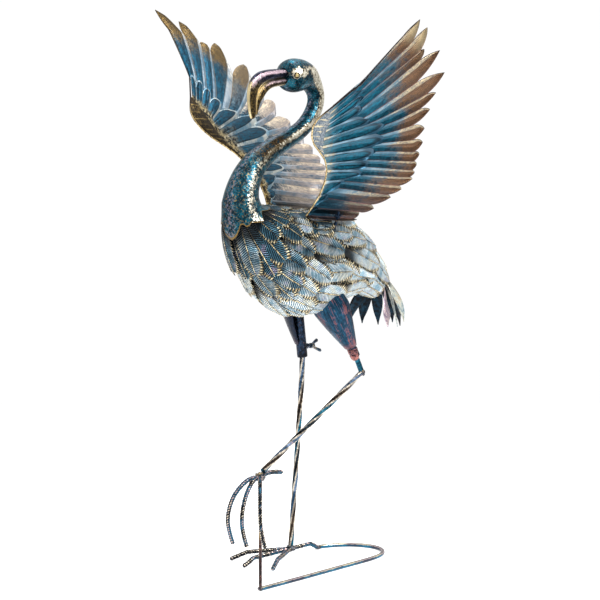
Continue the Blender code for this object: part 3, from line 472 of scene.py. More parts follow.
# %% Neck and head
# Each station: forward, up, radius.
NECK = mm(
    (168, 694, 28.5), (155, 716, 25.5), (135, 735, 22.5), (106, 751, 19.5), (75, 763, 17.3), (46, 774, 16),
    (15, 788, 15.4), (-7, 806, 15.1), (-21, 827, 15), (-23, 846, 15.6), (-14, 864, 17.8),
)
HEAD_CENTRE = (0.038, 0.883)
HEAD_RADIUS = 0.030
HEAD_MOUTH = 0.0255
NECK_SIDES = 48
COLLAR_STEPS = 14
NECK_STEPS = 6
# The collar's edge: (degrees from the top, rib it reaches). Points lie between the first feathers.
COLLAR = (
    (0, 2.35), (16, 2.45), (34, 2.15), (50, 1.55), (64, 1.16), (78, 0.92), (84, 1.35), (90, 1.86),
    (100, 1.62), (112, 1.46), (122, 1.32), (131, 1.66), (139, 1.4), (147, 1.2), (157, 1.62), (166, 1.92),
    (174, 2.08), (180, 2.16),
)


def between(table, where):
    """Straight-line value in a table of (where, numbers)."""
    for low, high in zip(table, table[1:]):
        if where <= high[0]:
            share = max((where - low[0]) / (high[0] - low[0]), 0.0)
            return tuple(a + (b - a) * share for a, b in zip(low[1:], high[1:]))
    return table[-1][1:]


def neck_rings():
    rings = []
    for step in range(COLLAR_STEPS, -1, -1):
        share = step / COLLAR_STEPS
        proud = FEATHER_DEPTH * (1.0 - 0.12 * share) + 0.0006 * max(0.0, share - 0.8)
        ring = []
        for i in range(NECK_SIDES):
            rib = between(COLLAR, 360 * min(i, NECK_SIDES - i) / NECK_SIDES)[0] * share
            ring.append(body_point(rib, math.tau * i / NECK_SIDES, proud))
        rings.append(ring)
    forward, up = HEAD_CENTRE
    line = [(0.174, 0.672, 0.0325), *NECK]
    line += [
        (forward - 0.036, up - 0.005, 0.0236), (forward - 0.019, up - 0.0005, 0.0282),
        (forward, up, HEAD_RADIUS),
        (forward + 0.014, up, 0.0268), (forward + 0.0215, up, 0.0212), (forward + HEAD_MOUTH, up, 0.0165),
    ]
    stations = [smooth_row(line, i / NECK_STEPS) for i in range(3, (len(line) - 1) * NECK_STEPS + 1)]
    rings += upright_rings(stations, NECK_SIDES)
    # The lip of the head shell turns in over the bill.
    mouth = rings[-1]
    return [*rings, shrunk(mouth, 0.9, Vector((0, -0.0012, 0))), shrunk(mouth, 0.8, Vector((0, 0.0012, 0)))]


skin_rings = neck_rings()
middles = [sum(ring, Vector()) / NECK_SIDES for ring in skin_rings]
skin_gone = [0.0]
for near, far in zip(middles, middles[1:]):
    skin_gone.append(skin_gone[-1] + (far - near).length)
neck_keeps = {"turned": round_turn(NECK_SIDES), "gone": lambda ring, i: skin_gone[ring]}
tube(
    "neck_and_head_skin", skin_rings, [neck_paint()], "teal_steel", ["neck_and_head"],
    sheet=(0.0012, -1), cap_first=False, keep=neck_keeps,
)

# %% [markdown]
# Under the collar's points the first feathers start, and between them one would look into the hollow
# figure. A short inner sleeve, a little smaller than the skin, closes that, as the body shell does.

# %% Sleeve under the collar
sleeve_rings = [body_ring(0.4 + 0.3 * i, -0.0012, 32) for i in range(7)]
# The sleeve's dark paint is painted shade, for the dark under the collar's points.
tube("collar_sleeve", sleeve_rings, [DARK_PAINT], "teal_steel", crease=35)

# %% [markdown]
# ## Bill and eyes
# The bill is two tapering halves that turn down sharply, as a flamingo's does. Each half is a tube
# whose rings are flattened. The eyes are domed studs with a ring round them: half a profile,
# spun round its axis.

# %% Bill
# Each station: forward, up, half height, half width.
BILL_UPPER = mm(
    (64, 888, 8, 10), (86, 887.2, 8.8, 9.2), (106, 885.5, 10, 8), (124.5, 880.5, 12.2, 7),
    (138, 870.5, 13.4, 6.2), (144, 856, 12.2, 5.8), (145.2, 840, 10.4, 5.4), (143.8, 825, 9, 4.8),
    (142.8, 815, 6.2, 3.6),
)
BILL_LOWER = mm(
    (64, 873.2, 6.6, 8.8), (86, 871.5, 6.6, 8), (100, 869, 7.1, 7), (112.5, 863, 8, 6.2),
    (122.5, 853, 8.4, 5.4), (129, 842, 5.8, 4.6), (131.8, 830, 3.2, 3.4), (133.5, 819, 1.4, 2),
)
BILL_SIDES = 24


def bill_paint():
    """Dark lilac with a painted pink-white sheen along one side near the head, turning to dark gold with light
    edges below.
    """
    f = Finish("bill_paint", 0.82)
    turned = f.kept("turned")
    height = f.parts(f.spot)[2]
    dab, fleck = f.cloud(200, 3, 0.6, 0.4), f.cloud(560, 2, 0.6)
    # A pink-white painted sheen along one side of the upper half, broken by dabs.
    pink_sheen = (turned.near(0.34, 0.28) * 0.8 + dab * 0.9 + fleck * 0.3).rise(0.98, 1.3)
    top = f.blend((dab * 0.5 + fleck * 0.5).rise(0.46, 0.6), (26, 24, 38), (66, 74, 98))
    top = f.blend(pink_sheen * 0.9, top, (214, 188, 198))
    hang = f.blend((dab * 0.5 + fleck * 0.6).rise(0.5, 0.68), (34, 26, 18), (150, 124, 74))
    hang = f.blend(turned.near(0.46, 0.4).rise(0.45, 0.1), hang, GOLD)
    tone = f.blend((height + dab * 0.016).rise(0.87, 0.892), hang, top)
    return f.done(tone, 0.18 + dab * 0.3, dab + fleck * 0.5, 0.0007)


BILL_PAINT = bill_paint()
for half, table in (("upper", BILL_UPPER), ("lower", BILL_LOWER)):
    bill_stations = [smooth_row(table, i / 5) for i in range((len(table) - 1) * 5 + 1)]
    bill_rings = upright_rings(bill_stations, BILL_SIDES, 0.004)
    (f_1, u_1, *_), (f_2, u_2, tip_size, _) = bill_stations[-2:]
    tip = (place(f_2, 0.0, u_2) - place(f_1, 0.0, u_1)).normalized() * tip_size
    bill_rings += [shrunk(bill_rings[-1], share, tip * far) for share, far in ((0.75, 0.35), (0.35, 0.5))]
    keep = {"turned": round_turn(BILL_SIDES)}
    tube(f"bill_{half}_sheet", bill_rings, [BILL_PAINT], "bronzed_steel", [f"bill_{half}"], keep=keep)

# %% Eyes
EYE_TURN = math.radians(55)
# Distance from the stud's axis, and height over the head.
EYE_PROFILE = mm((6.8, -1.2), (6.4, 0.9), (5.5, 1.1), (4.8, 0.1), (4, 1.6), (2.6, 3.2), (0, 3.4))


def eye_paint():
    """A pale ring that is a painted highlight, a dark groove inside it that is painted shade, and a gold dome
    with a dark foot, also painted shade.
    """
    f = Finish("eye_paint", 0.8, 0.24)
    out = f.kept("out")
    # The dark groove and the dome's dark foot are painted shade; the pale ring is a painted highlight.
    dome = f.blend(out.rise(0.0022, 0.0036), (250, 226, 160), (60, 44, 22))
    return f.done(f.blend(out.rise(0.0047, 0.0054), dome, (240, 232, 210)))


def spun(bm, line, centre, axis, angle, steps):
    """A line of places, spun round an axis."""
    verts = [bm.verts.new(spot) for spot in line]
    edges = [bm.edges.new(pair) for pair in zip(verts, verts[1:])]
    whole = angle == math.tau
    bmesh.ops.spin(bm, geom=[*verts, *edges], cent=centre, axis=axis, angle=angle, steps=steps, use_merge=whole)


EYE_PAINT = eye_paint()
for word, side in (("left", 1), ("right", -1)):
    outwards = Vector((side * math.sin(EYE_TURN), -math.cos(EYE_TURN), 0.05)).normalized()
    seat = place(HEAD_CENTRE[0], 0.0, HEAD_CENTRE[1]) + outwards * HEAD_RADIUS
    turned = outwards.to_track_quat("Z", "Y").to_matrix().to_4x4()
    bm = bmesh.new()
    spun(bm, [(radius, 0.0, rise) for radius, rise in EYE_PROFILE], (0, 0, 0), (0, 0, 1), math.tau, 24)
    bmesh.ops.remove_doubles(bm, verts=bm.verts, dist=0.00002)
    out = bm.verts.layers.float.new("out")
    for vert in bm.verts:
        vert[out] = vert.co.xy.length
    bmesh.ops.transform(bm, matrix=Matrix.Translation(seat) @ turned, verts=bm.verts)
    finish_piece(f"eye_stud_{word}", bm, [EYE_PAINT], [f"eye_{word}"], 40)

# %% [markdown]
# ## Cut feathers on the body
# The coat is some ninety feathers cut from thin sheet with a toothed edge, embossed with a shaft and
# barbs, and laid like roof tiles from the collar back. One feather is a grid whose columns slant
# like barbs; pulling in a few edge vertices cuts the teeth. Each grid is pressed onto the body by
# finding the nearest place on it, and lifted more and more towards its tip, so that it lies over the next.

# %% The surface that feathers lie on
press = bmesh.new()
grow(press, [body_ring(0.3 + i / 6, 0.0, 72) for i in range(77)])
bmesh.ops.recalc_face_normals(press, faces=press.faces)
bmesh.ops.triangulate(press, faces=press.faces)
BODY_SURFACE = BVHTree.FromBMesh(press)
press.free()


def on_body(spot):
    """The nearest place on the body and the direction straight out of it."""
    return BODY_SURFACE.find_nearest(spot)[:2]


# %% Feather paint
def feather_paint():
    """Dark grooves between pale barbs, gold teeth with painted black shadow between them, and painted shadow
    where the feather comes out from under others.
    """
    f = Finish("cut_feather_paint", 0.78)
    across, share = f.sheet_map("vane")
    along = f.sheet_map("barb")[1]
    aside = ((across - 0.5) * 2).size()
    barb = (along * (math.tau * 27)).wave() * 0.5 + 0.5
    drift, patch, dab = f.cloud(45), f.cloud(60), f.cloud(190, 3, 0.6, 0.5)
    pale = (f.kept("tone") + (drift - 0.5) * 1.2 + (aside - 0.5) * 0.3).rise(0.05, 0.95)
    groove = f.blend(pale, (2, 14, 22), (58, 116, 142))
    ridge = f.blend(pale, (60, 104, 124), (248, 252, 250))
    ridge = f.blend(patch.rise(0.52, 0.62) * pale * 0.8, ridge, (255, 244, 214))
    ridge = f.blend(patch.rise(0.46, 0.36) * 0.6, ridge, (116, 170, 194))
    ridge = f.blend(drift.rise(0.56, 0.66) * 0.5, ridge, LILAC)
    body = f.blend(((barb + pale * 0.16).rise(0.36, 0.8) * (0.3 + dab * 1.3)).least(1), groove, ridge)
    margin = (aside + (share - 0.6).most(0) * 0.9).rise(0.66, 0.9)
    gold = f.blend(dab.rise(0.42, 0.58), (170, 142, 88), (250, 236, 194))
    # The gaps between the gold teeth are painted near black: painted shadow under the toothed edge.
    tooth = ((along * (math.tau * 17) + dab * 3).wave() * 0.5 + 0.5).rise(0.4, 0.66)
    body = f.blend(margin * (0.45 + dab * 0.9).least(1), body, f.blend(tooth, (4, 8, 12), gold))
    body = f.blend(aside.rise(0.1, 0.04) * 0.8, body, (26, 34, 42))
    body = f.blend(aside.rise(0.045, 0.02) * drift.rise(0.36, 0.5), body, gold)
    # Painted shadow over the root, where the row above lies over it.
    body = f.blend(share.rise(0.46, 0.2) * 0.95, body, (4, 9, 14))
    return f.done(body, 0.22 + dab * 0.24 + pale * 0.14, barb * 0.7 + dab * 0.2, 0.002)


FEATHER_PAINT = feather_paint()

# %% One feather
FEATHER_COLUMNS = 40
FEATHER_ACROSS = (-1.0, -0.78, -0.50, -0.14, 0.0, 0.14, 0.50, 0.78, 1.0)
BARB_SLANT = 0.62


def feather_half_width(share, half):
    """Half the feather's width: narrow at its root and round at its tip."""
    tip = math.sqrt(max(0.0, 1.0 - max(0.0, (share - 0.66) / 0.36) ** 2))
    return half * min(1.0, 0.45 + share * 2.6) * tip


def lay_feather(bm, keeps, root, tip, half, lift, tone, chance):
    """Presses one toothed feather onto the body between two places on it."""
    rows = len(FEATHER_ACROSS) - 1
    crossings, faces = grid(bm, FEATHER_COLUMNS, rows)
    notch = {}
    for row in (0, rows):
        column = 9
        while column < FEATHER_COLUMNS - 1:
            notch[(column, row)] = 0.0055 + 0.0035 * chance.random() + 0.0045 * (column / FEATHER_COLUMNS > 0.5)
            column += 2 if chance.random() < 0.8 else 3
    length = (tip - root).length
    reach = length - half * BARB_SLANT * 0.55
    for vert, (column, row) in crossings.items():
        share = column / FEATHER_COLUMNS
        across = FEATHER_ACROSS[row]
        wide = feather_half_width(share, half)
        aside = across * wide
        if (column, row) in notch and wide > 0.006:
            aside -= math.copysign(min(notch[(column, row)], wide * 0.55), across)
        along = (share * reach + abs(aside) * BARB_SLANT) / length
        shaft, out = on_body(root.lerp(tip, along))
        ahead = (tip - root) - out * (tip - root).dot(out)
        spot, out = on_body(shaft + out.cross(ahead).normalized() * aside)
        ridge = 0.0016 * max(0.0, 1.0 - abs(across) / 0.14) - 0.0010 * across * across
        vert.co = spot + out * (lift[0] + (lift[1] - lift[0]) * along**1.5 + ridge)
    vane, barb, tones = keeps
    for face in faces:
        face[tones] = tone
        for loop in face.loops:
            column, row = crossings[loop.vert]
            share = column / FEATHER_COLUMNS
            loop[vane].uv = (FEATHER_ACROSS[row] / 2 + 0.5, share)
            loop[barb].uv = (0.0, share * reach * 10)


# %% The coat, from the collar to the rump
# Each row: the solids it stands for, how pale it is, its lift at root and tip, and its feathers as (root
# rib, degrees from the top, tip rib, degrees, half width). Those off the middle are laid on both sides.
COAT_ROWS = (
    ((1,), -0.1, (0.9, 10.5), (
        (2.1, 12, 5.2, 12, 20), (1.9, 40, 5.3, 37, 21), (0.9, 82, 5.6, 71, 22), (1.3, 60, 4.6, 54, 19),
        (1.3, 124, 4.6, 109, 22), (1.2, 150, 4.1, 160, 20), (1.9, 180, 4.3, 180, 18), (1.2, 103, 3.6, 92, 18),
        (1.5, 137, 4.6, 136, 20),
    )),
    ((2,), 0.36, (0.9, 12), (
        (4, 0, 6.6, 0, 20), (3.9, 24, 6.9, 25, 21), (3.7, 52, 6.9, 52, 21), (2.6, 84, 6.4, 82, 22),
        (3.2, 112, 5.9, 98, 20), (3.3, 138, 5.9, 118, 21), (3.3, 168, 5.3, 158, 20), (3.4, 152, 5.8, 138, 21),
    )),
    ((3,), 0.66, (0.9, 12), (
        (5.5, 14, 8, 16, 21), (5.4, 38, 7.7, 50, 21), (4.8, 67, 8, 78, 22), (4.5, 96, 7.3, 104, 21),
        (4.3, 128, 6.7, 121, 20), (4.4, 160, 6.9, 139, 21), (4.6, 180, 6.6, 178, 19),
        (4.9, 172, 6.9, 158, 19),
    )),
    ((4,), 0.92, (0.9, 11.5), (
        (7, 0, 9.4, 0, 21), (6.8, 27, 9.2, 34, 21), (6.4, 47, 9.4, 64, 22), (5.9, 82, 9, 109, 22),
        (6, 122, 8.4, 128, 21), (6.2, 150, 8.3, 150, 20), (6.4, 180, 8.4, 180, 19), (6, 102, 8.5, 98, 21),
    )),
    ((5, 6), 0.98, (0.9, 9.5), (
        (8.3, 16, 10.5, 20, 20), (8, 44, 10.4, 50, 21), (7.9, 70, 10.6, 84, 21), (7.9, 98, 10.6, 110, 20),
        (7.9, 126, 10.2, 134, 20), (8, 160, 10.2, 162, 19),
    )),
    ((7, 8), 1.05, (0.9, 8), (
        (9.6, 0, 11.8, 0, 18), (9.5, 34, 11.8, 40, 18), (9.4, 64, 12.1, 76, 18), (9.3, 96, 11.9, 108, 18),
        (9.5, 124, 11.9, 130, 17), (9.5, 150, 11.8, 156, 16), (9.6, 180, 11.8, 180, 14),
    )),
    ((), 0.6, (4, 13), (
        (4.6, 46, 6.6, 50, 18), (5.6, 38, 7.8, 42, 18), (6.6, 50, 8.6, 58, 18),
    )),
)


def sheet_keeps(bm, name):
    """Two sheet maps, and a number for each face."""
    return bm.loops.layers.uv.new("vane"), bm.loops.layers.uv.new("barb"), bm.faces.layers.float.new(name)


coat_chance = random.Random(7)
for number, (solids, pale, lift, row) in enumerate(COAT_ROWS, start=1):
    bm = bmesh.new()
    keeps = sheet_keeps(bm, "tone")
    for order, (root_rib, root_turn, tip_rib, tip_turn, half) in enumerate(row):
        lifts = [height / 1000 + 0.0007 * (order % 3) for height in lift]
        for side in (1,) if root_turn in (0, 180) else (1, -1):
            root = body_point(root_rib, side * math.radians(root_turn), 0.0)
            tip = body_point(tip_rib, side * math.radians(tip_turn), 0.0)
            tone = pale + coat_chance.uniform(-0.24, 0.24) + (0.3 if root_turn > 140 else 0.0)
            lay_feather(bm, keeps, root, tip, half / 1000, lifts, tone, coat_chance)
    nodes = [f"feather_row_{solid}" for solid in solids]
    finish_piece(f"coat_row_{number}", bm, [FEATHER_PAINT], nodes, 45, (0.0006, -1))

# %% [markdown]
# ## Wings
# Each wing is one pressed sheet: a smooth arm, a tier of round-ended covert feathers and a tier of
# long flight feathers whose tips are free. It is built feather by feather: a grid runs from the
# leading edge out to the tip, with a column of crossings on the feather's crease. Neighbours share
# their edge and are merged, so the pressing stays one sheet, and only past the slots do they part.

# %% Lines on the wing sheet
WING_LEAN = math.radians(52.3)
WING_PITCH = math.radians(9.73)
WING_ROOT = (0.0353, 0.0283, 0.6346)
WING_CROWN = 0.00365
WING_CROWN_AT = 0.254
WING_BOW_RADIUS = 1.866
# Feather edges 0 to 17, from the root's corner to the leading edge, where each leaves the rim
# and the arm, as (span, chord).
RIM_LINE = mm(
    (9.8, 18.3), (28, 16.1), (46.2, 15), (66.1, 17.4), (86.2, 24.3), (104, 34.3), (115.5, 44.7),
    (125.7, 56.2), (134.8, 71.9), (143.7, 88.9), (151.5, 104.3), (158.9, 114.1), (166.8, 123.6),
    (176.6, 130.5), (187.1, 136.3), (202.2, 136.9), (219.2, 129.8), (235.9, 120.8),
)
ARM_LINE = mm(
    (10, 12), (24.2, 10), (43.9, 8.4), (62.6, 11.3), (81.7, 17.9), (98, 26.2), (109.5, 36.2), (119.1, 47),
    (129.2, 57.6), (139, 68.3), (148.8, 77.3), (158.5, 84.3), (168.5, 90.2), (179.1, 95.1), (190.3, 99.3),
    (202.6, 104.5), (217.2, 112.5), (234.5, 119.8),
)
# Covert tips as (edge number they point at, span, chord), and the edge numbers between coverts.
COVERT_TIPS = [(edge, span / 1000, chord / 1000) for edge, span, chord in (
    (0, 14, 8), (0.7, 24, -2), (1.9, 48, -10), (3.3, 81.6, -24.6), (4.9, 106.5, -62.4), (6.2, 128.9, -61.1),
    (7.6, 152, -57.2), (9.4, 186.4, -57.6), (10.9, 215.4, -35.2), (12.8, 220, 22.6), (14, 240.3, 51.4),
    (15, 261.8, 66.5), (15.8, 277.4, 77.9), (16.7, 287.9, 96), (17, 290.5, 94.5),
)]
COVERT_SPLITS = (0.0, 1.3, 2.5, 4.1, 5.6, 6.9, 8.5, 10.2, 11.8, 13.4, 14.5, 15.4, 16.2, 17.0)
# Where two flight feathers part, the tip of each feather, and how full each tip is.
SLOTS = mm(
    (18, -108), (33, -110), (51, -123), (76, -152), (98, -172), (119, -186), (134, -181), (153, -170),
    (173, -154), (196, -128), (225, -101), (260, -89), (294, -79), (311, -31), (360, 1), (378, 19), (391, 54),
    (396, 86),
)
TIPS = mm(
    (27, -115), (44, -145), (72, -171), (92, -186), (117, -197), (130, -192), (147, -183), (170, -171),
    (195, -159), (224, -138), (265, -116), (301, -99), (345, -81), (387, -26), (382, 13), (426, 48),
    (438, 80),
)
TIP_FULLNESS = (
    0.3, 0.24, 0.22, 0.22, 0.24, 0.26, 0.28, 0.3, 0.28, 0.26, 0.24, 0.2, 0.18, 0.17, 0.2, 0.16, 0.12,
)
FEATHERS = len(TIPS)
RIGHT_TIP_BEND = Vector((0.006, 0.020))
RIGHT_SLOT_BEND = Vector((0.0, 0.005))
RISER_AT = 0.27  # share of a feather's width, from its trailing edge, where the steep face ends
BAND_AT = 0.66  # and where the face towards the leading edge starts
ACROSS = (0.0, 0.13, 0.27, 0.40, 0.53, 0.66, 0.83, 1.0)
COVERT_STEP = 0.0024
ARM_RISE = 0.0030
WING_SHEET = 0.0012


def wing_point(side, span, chord, lift=0.0):
    """A place on a wing sheet, lifted towards the back side of the wing."""
    bow = WING_CROWN - (span - WING_CROWN_AT) ** 2 / (2 * WING_BOW_RADIUS) + lift
    root_forward, root_out, root_up = WING_ROOT
    out = root_out + span * math.cos(WING_LEAN) - bow * math.sin(WING_LEAN)
    rise = span * math.sin(WING_LEAN) + bow * math.cos(WING_LEAN)
    forward = root_forward + chord * math.cos(WING_PITCH) - rise * math.sin(WING_PITCH)
    return place(forward, side * out, root_up + chord * math.sin(WING_PITCH) + rise * math.cos(WING_PITCH))


def line_spot(table, edge):
    return Vector(smooth_row(table, edge))


def covert_share(edge):
    """Which covert an edge number falls in, as 0 to 1 across it, and how wide that covert is."""
    for low, high in zip(COVERT_SPLITS, COVERT_SPLITS[1:]):
        if edge <= high:
            return (edge - low) / (high - low), high - low
    return 1.0, 1.0


def covert_edge(edge):
    """The scalloped end of the covert tier."""
    reach, arm = Vector(between(COVERT_TIPS, edge)), line_spot(ARM_LINE, edge)
    share, wide = covert_share(edge)
    back = (0.010 + 0.006 * wide) * abs(2 * share - 1) ** 2.4
    return reach.lerp(arm, min(0.75, back / max((reach - arm).length, 0.004)))


def fold_height(share):
    """Height across a pressed feather: a steep riser, a nearly level panel, and a slope to the next one."""
    if share < RISER_AT:
        return share / RISER_AT
    if share < BAND_AT:
        return 1.0 - 0.25 * (share - RISER_AT) / (BAND_AT - RISER_AT)
    return 0.75 * (1.0 - share) / (1.0 - BAND_AT)


# %% [markdown]
# A feather's rows go rim, arm, coverts, the step at the covert tips, flight feather, slot, free tip.
# The height of each crossing is the pressing: the arm swells softly, and coverts and flight feathers
# are folded like shingles.

# %% One wing feather
ROW_PLAN = [("arm", i / 3) for i in range(3)] + [("covert", i / 9) for i in range(10)]
ROW_PLAN += [("flight", i / 10) for i in range(11)]
ROW_PLAN += [("tip", 1.0 - (1.0 - i / 12) ** 1.5) for i in range(1, 13)]
ZONE_PAINT = {"arm": 2, "covert": 1, "flight": 0, "tip": 0}


def share_at(feather, column, zone, t):
    """A column's share of the feather's width. Above the covert tips one column runs on their seam."""
    share = ACROSS[column]
    seams = [split - feather for split in COVERT_SPLITS if 0.05 < split - feather < 0.95]
    if zone == "tip" or not seams:
        return share
    if column != min(range(1, len(ACROSS) - 1), key=lambda k: abs(ACROSS[k] - seams[0])):
        return share
    return seams[0] + (share - seams[0]) * (min(1.0, t * 3.0) if zone == "flight" else 0.0)


def slot_spot(side, number):
    return Vector(SLOTS[number]) + RIGHT_SLOT_BEND * (side < 0 and number == FEATHERS)


def tip_spot(side, feather):
    return Vector(TIPS[feather]) + RIGHT_TIP_BEND * (side < 0 and feather == FEATHERS - 1)


def free_edge(slot, tip, bulge, t):
    middle = (slot + tip) / 2 + Vector((slot.y - tip.y, tip.x - slot.x)) * bulge
    return slot.lerp(middle, t).lerp(middle.lerp(tip, t), t)


def sheet_spot(side, feather, share, zone, t):
    """Where a crossing of a feather's grid lies on the flat sheet."""
    edge = feather + share
    arm = line_spot(ARM_LINE, edge)
    if zone == "arm":
        return line_spot(RIM_LINE, edge).lerp(arm, t)
    if zone == "covert":
        return arm.lerp(covert_edge(edge), t)
    low_slot, high_slot = slot_spot(side, feather), slot_spot(side, feather + 1)
    if zone == "flight":
        start, end = covert_edge(edge), low_slot.lerp(high_slot, share)
        beyond = line_spot(TIPS, min(max(edge - 0.5, 0.0), FEATHERS - 1.0))
        step = (end - start).normalized() * 0.0010
        return Vector(smooth_row((arm, start + step, end, beyond), 1.0 + t))
    tip = tip_spot(side, feather)
    low = free_edge(low_slot, tip, -TIP_FULLNESS[feather], t)
    high = free_edge(high_slot, tip, TIP_FULLNESS[feather], t)
    ahead = (tip - (low_slot + high_slot) / 2).normalized()
    return low.lerp(high, share) + ahead * ((high - low).length * 0.18 * 4 * share * (1 - share) * (1 - t))


def press_height(edge, share, zone, t, wide):
    """How far a crossing stands above the flat sheet."""
    if zone == "arm":
        return ARM_RISE * math.sin(math.pi * min(1.0, t * 0.62 + 0.02))
    if zone == "covert":
        across, covert_wide = covert_share(edge)
        start = min(1.0, t * 3.2)
        swell = ARM_RISE * math.sin(math.pi * 0.64) * (1.0 - start)
        deep = min(0.0046, 0.19 * wide * covert_wide)
        return swell + start * (COVERT_STEP + deep * fold_height(across) * min(1.0, (1.0 - t) * 5.0 + 0.45))
    return min(0.0044, 0.24 * wide) * fold_height(share)


def press_feather(bm, keeps, side, feather):
    columns, rows = len(ACROSS) - 1, len(ROW_PLAN) - 1
    crossings, faces = grid(bm, columns, rows)
    shares, flat, lengths, widths = {}, {}, {}, {}
    for row, (zone, t) in enumerate(ROW_PLAN):
        for column in range(columns + 1):
            at = (column, row)
            shares[at] = share_at(feather, column, zone, t)
            flat[at] = sheet_spot(side, feather, shares[at], zone, t)
            before = (column, row - 1)
            lengths[at] = lengths[before] + (flat[at] - flat[before]).length if row else 0.0
        widths[row] = (flat[(columns, row)] - flat[(0, row)]).length
    for vert, at in crossings.items():
        lift = press_height(feather + shares[at], shares[at], *ROW_PLAN[at[1]], widths[at[1]])
        vert.co = wing_point(side, *flat[at], lift)
    vane, barb, order = keeps
    for face in faces:
        zone = ROW_PLAN[min(crossings[loop.vert][1] for loop in face.loops)][0]
        face.material_index = ZONE_PAINT[zone]
        face[order] = feather / FEATHERS
        middle = feather + sum(shares[crossings[loop.vert]] for loop in face.loops) / len(face.loops)
        low_seam = max(split for split in COVERT_SPLITS if split <= middle)
        high_seam = min(split for split in COVERT_SPLITS if split > middle)
        for loop in face.loops:
            at = crossings[loop.vert]
            here, t = ROW_PLAN[at[1]]
            across = shares[at]
            tipness = {"flight": 0.3 + 0.4 * t, "tip": 0.7 + 0.3 * t}.get(here, 0.0)
            if zone == "covert":
                across = (feather + across - low_seam) / (high_seam - low_seam)
                tipness = 0.3 * (t if here == "covert" else 1.0)
            loop[vane].uv = (across, tipness)
            loop[barb].uv = ((shares[at] - 0.5) * widths[at[1]] * 10, lengths[at] * 10)


# %% [markdown]
# The two faces of a wing are painted alike but look different, because what is a ridge on one is a
# groove on the other: on the back the long faces stay dark with light shingle edges, and on the
# underside the panels are blue with pale rims. That light and shade is painted into the colours here:
# the pale edges and rims are painted highlight and the dark lines beside them painted shade, so the
# sheet's two sides get their own paints.


# %% Wing paints
def wing_finish(name):
    """A finish with its sheet maps: across and towards the tip, sideways and along in metres."""
    f = Finish(name, 0.8)
    return f, *f.sheet_map("vane"), *f.sheet_map("barb")


def vane_paint(name, back, panel, band, tip_panel, tip_band, tip_from, line):
    """A pressed feather: a panel, a lighter band beside it that is a painted highlight, and a rubbed, hatched
    tip.
    """
    f, across, tipness, aside, along = wing_finish(name)
    order = f.kept("order")
    drift, dab, fleck = f.cloud(26), f.cloud(170, 3, 0.62, 0.4), f.cloud(520, 2, 0.6)
    grain = f.streaks(aside * 30, along * 5)
    # The band is the face of the fold that catches the light: its colour is a painted highlight, except on the
    # back's inner feathers.
    in_band = across.rise(BAND_AT - 0.05, BAND_AT + 0.03)
    if back:
        in_band = (across - (0.72 - tipness) * 0.24).rise(RISER_AT + 0.06, RISER_AT - 0.02)
    tone = f.blend((dab * 0.4 + grain * 0.6).rise(0.36, 0.66), *panel)
    band_lighting = f.blend((dab * 0.3 + drift * 0.7).rise(0.38, 0.62), *band)
    far = (tipness + (drift - 0.5) * 0.35 + (dab - 0.5) * 0.3).rise(tip_from - 0.1, tip_from + 0.12)
    hatch = ((along + aside.size() * 0.8) * (math.tau * 36) + dab * 3).wave() * 0.5 + 0.5
    rubbed = (hatch * 0.55 + fleck * 0.4 + dab * 0.35).rise(0.6, 0.84)
    tone = f.blend(far, tone, f.blend(rubbed, *tip_panel))
    tip_band_lighting = f.blend((dab * 0.5 + fleck * 0.5).rise(0.38, 0.62), *tip_band)
    band_lighting = f.blend((far + order.rise(0.8, 0.55) * far * 0.5).least(1), band_lighting, tip_band_lighting)
    if back:
        # Inner feathers on the back: the panel, facing up, is painted light and the riser, facing down, painted
        # shade, lighter towards the leading side.
        inner = order.rise(0.74, 0.6) * (tipness + (dab - 0.5) * 0.4).rise(0.3, 0.5)
        worn = (grain * 0.5 + dab * 0.2 + across * 0.2).rise(0.36, 0.62)
        tone = f.blend(inner * 0.9, tone, f.blend(worn, (168, 156, 152), (248, 230, 202)))
        worn = (drift * 0.4 + grain * 0.6).rise(0.3, 0.66)
        band_lighting = f.blend(inner, band_lighting, f.blend(worn, (88, 118, 142), (204, 194, 190)))
        first = order.rise(0.07, 0.05) * 0.85
        tone, band_lighting = f.blend(first, tone, (26, 22, 20)), f.blend(first, band_lighting, (60, 52, 46))
        shade, seam = 0.8 - inner * 0.35, across.rise(0.95, 0.985)
    else:
        first = order.rise(0.8, 0.88) * tipness.rise(0.62, 0.8)
        tone = f.blend(first, tone, f.blend(rubbed, (176, 150, 110), (238, 222, 182)))
        # Underside: darker on the first feathers, and painted shade over the trailing part of each panel.
        tone = f.blend(order.rise(0.26, 0.06) * 0.5, tone, (20, 34, 52))
        tone = f.blend(across.rise(0.4, 0.05) * 0.45, tone, (16, 26, 38))
        band_lighting = f.blend(order.rise(0.22, 0.06) * 0.5, band_lighting, (40, 60, 76))
        shade, seam = 0.75, across.rise(0.05, 0.015)
    # A painted shadow line where the band meets the panel.
    shade = in_band.near(0.3, 0.3) * shade
    tone = f.blend(in_band, f.blend(shade, tone, (10, 20, 30)), band_lighting)
    tone = f.blend(seam * (0.1 + dab * 0.6), tone, line)
    return f.done(tone, 0.22 + dab * 0.26, hatch * (0.15 + far * 0.6) + fleck * 0.3, 0.0007)


